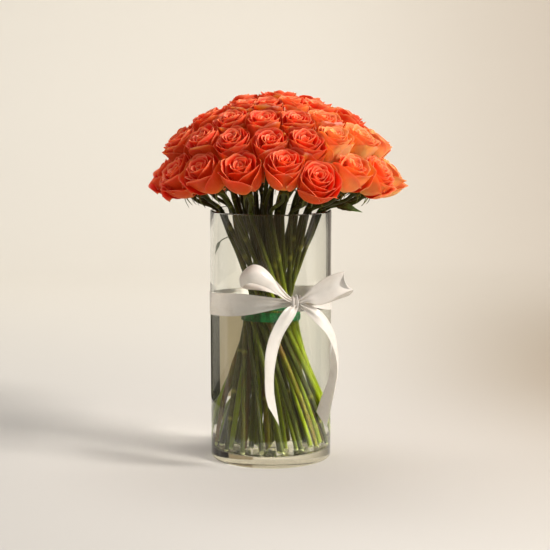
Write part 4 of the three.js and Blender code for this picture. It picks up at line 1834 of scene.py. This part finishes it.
@dataclass
class Studio:
    """The pale paper, the screens, the soft lights and the camera, in metres.

    Attributes:
        lens: The camera's focal length, in millimetres.
        sensor: The width of its sensor, in millimetres.
        eye: Where it stands.
        pitch: How far it looks down, in degrees.
        front: The y of the paper's front edge.
        bend: The y where the paper starts to rise.
        sweep: The radius of its rise.
        dark: The colour of the screens that stand for the unlit side of the room.
        air: The colour of the light from all round.
        air_strength: How strong that light is.
    """

    lens: float = 96.37
    sensor: float = 36.0
    eye: tuple[float, float, float] = (0.0051, -1.787, 0.4661)
    pitch: float = 7.706
    front: float = -4.0
    bend: float = 1.6
    sweep: float = 0.9
    dark: str = "#14120e"
    air: str = "#f2efe9"
    air_strength: float = 0.2

    @staticmethod
    def _stand(name: str, points: Array, finish: bpy.types.Material) -> bpy.types.Object:
        """Makes a sheet of the studio, which isn't part of the roses.

        Args:
            name: Its name.
            points: A grid of its points.
            finish: Its material.

        Returns:
            The object.
        """
        rows, columns = points.shape[:2]
        faces = Shell.strips(np.arange(rows * columns).reshape(rows, columns), False)
        mesh = bpy.data.meshes.new(name)
        mesh.from_pydata(points.reshape(-1, 3).tolist(), [], faces.tolist())
        mesh.materials.append(finish)
        made = placed(name, mesh)
        made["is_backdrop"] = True
        return made

    def _paper(self) -> None:
        """One sheet: flat under the vase, then up in a quarter circle to a wall behind it."""
        swing = np.linspace(0.1, np.pi / 2, 12)
        curve = self.bend + self.sweep * np.sin(swing)
        y = np.concatenate([np.linspace(self.front, self.bend, 9), curve, [self.bend + self.sweep] * 4])
        z = np.concatenate([np.zeros(9), self.sweep - self.sweep * np.cos(swing), [1.3, 2.0, 3.0, 4.5]])
        points = np.stack(np.broadcast_arrays(np.linspace(-5, 5, 5), y[:, None], z[:, None]), axis=-1)
        self._stand("paper", points, StudioFinish().material()).data.shade_smooth()

    def _screen(
        self, name: str, foot: Sequence[Sequence[float]], high: float, seen: tuple[bool, bool], tint: str
    ) -> None:
        """Stands up a screen that only the glass sees, as a real vase sees the unlit side of the room.

        Args:
            name: The screen's name.
            foot: The points of its foot, as x and y.
            high: Its height.
            seen: Whether the glass refracts it, and whether it reflects it.
            tint: Its colour.
        """
        points = np.stack([np.column_stack([foot, np.full(len(foot), z)]) for z in (0.0, high)])
        screen = self._stand(name, points, ScreenFinish(name + "_paint", tint).material())
        screen.visible_camera = screen.visible_diffuse = screen.visible_shadow = False
        screen.visible_transmission, screen.visible_glossy = seen

    def _screens(self) -> None:
        """Stands up two screens beside and behind the vase, and three as arcs round it."""
        side = ((0.14, 0.31), (0.146, 0.26), (0.155, 0.21), (0.21, 0.15), (0.25, 0.05), (0.26, -0.02))
        self._screen("side_screen", side, 0.42, (True, False), self.dark)
        self._screen("low_screen", ((0.05, 0.36), (0.14, 0.31)), 0.13, (True, False), "#c9bb9f")
        arcs = (
            ("front_screen", -75, 60, 0.2, 0.42, (True, True), "#aaa48a"),
            ("left_screen", -172, -90, 0.35, 0.17, (False, True), self.dark),
            ("right_screen", 60, 100, 0.3, 0.17, (False, True), self.dark),
        )
        for name, start, end, away, high, seen, tint in arcs:
            foot = at(np.linspace(start, end, 13), away, 0.0)[:, :2]
            self._screen(name, foot, high, seen, tint)

    def _light(
        self,
        name: str,
        place: Sequence[float],
        target: Sequence[float],
        size: tuple[float, float],
        power: float,
        tint: str,
    ) -> None:
        """Adds an oblong soft light.

        Args:
            name: The light's name.
            place: Where it is, in metres.
            target: The point that it faces.
            size: Its width and height.
            power: Its power in watts.
            tint: Its colour.
        """
        data = bpy.data.lights.new(name, "AREA")
        data.shape = "RECTANGLE"
        data.size, data.size_y = size
        data.energy = power
        data.color = paint(tint)[:3]
        light = placed(name, data)
        light.location = place
        light.rotation_euler = (Vector(target) - Vector(place)).to_track_quat("-Z", "Y").to_euler()

    def build(self) -> None:
        """Makes the camera, which looks along +Y and a little down, then all that stands round the vase."""
        scene = bpy.context.scene
        data = bpy.data.cameras.new("camera")
        data.lens, data.sensor_width, data.clip_end = self.lens, self.sensor, 50.0
        camera = placed("camera", data)
        camera.location = self.eye
        camera.rotation_euler = (math.radians(90 - self.pitch), 0, 0)
        scene.camera = camera
        self._paper()
        self._screens()
        self._light("key", (1.95, -0.85, 1.5), (0, 0, 0.3), (0.5, 0.5), 80, "#fffaf4")
        self._light("fill", (-1.7, -2.0, 1.5), (0, 0, 0.25), (1.4, 1.4), 9, "#ffffff")
        self._light("top", (0.0, 0.2, 2.4), (0, 0, 0.3), (1.6, 1.6), 10, "#ffffff")
        self._light("wall", (-0.7, 1.0, 2.6), (-0.4, 2.2, 0.3), (2.8, 1.2), 36, "#ffffff")
        world = bpy.data.worlds.new("air")
        world.use_nodes = True
        sky = world.node_tree.nodes["Background"].inputs
        sky["Color"].default_value = paint(self.air)
        sky["Strength"].default_value = self.air_strength
        scene.world = world
        scene.view_settings.view_transform = "Standard"


# ---------------------------------------------------------------- the whole


def corners() -> list[list[float]]:
    """The shown object's lowest and highest corners, as plain lists."""
    return [[round(float(x), 5) for x in corner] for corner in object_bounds()]


def main() -> None:
    logging.basicConfig(level=logging.INFO, format="%(message)s", stream=sys.stdout)
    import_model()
    planting = Planting()
    Studio().build()
    petal = PetalFinish().material()
    slots = ["petals_red_orange", "petals_orange", "petals_deep_orange", "petals_light_orange"]
    for rose in planting.plant():
        head = Bloom(rose).shell(planting)
        head.piece(f"bloom_{rose.number + 1:02d}", petal, slots[rose.number % 4], [rose.node])
    Sheaf(planting).build()
    Vase().build()
    Ribbon().build()


if __name__ == "__main__":
    main()
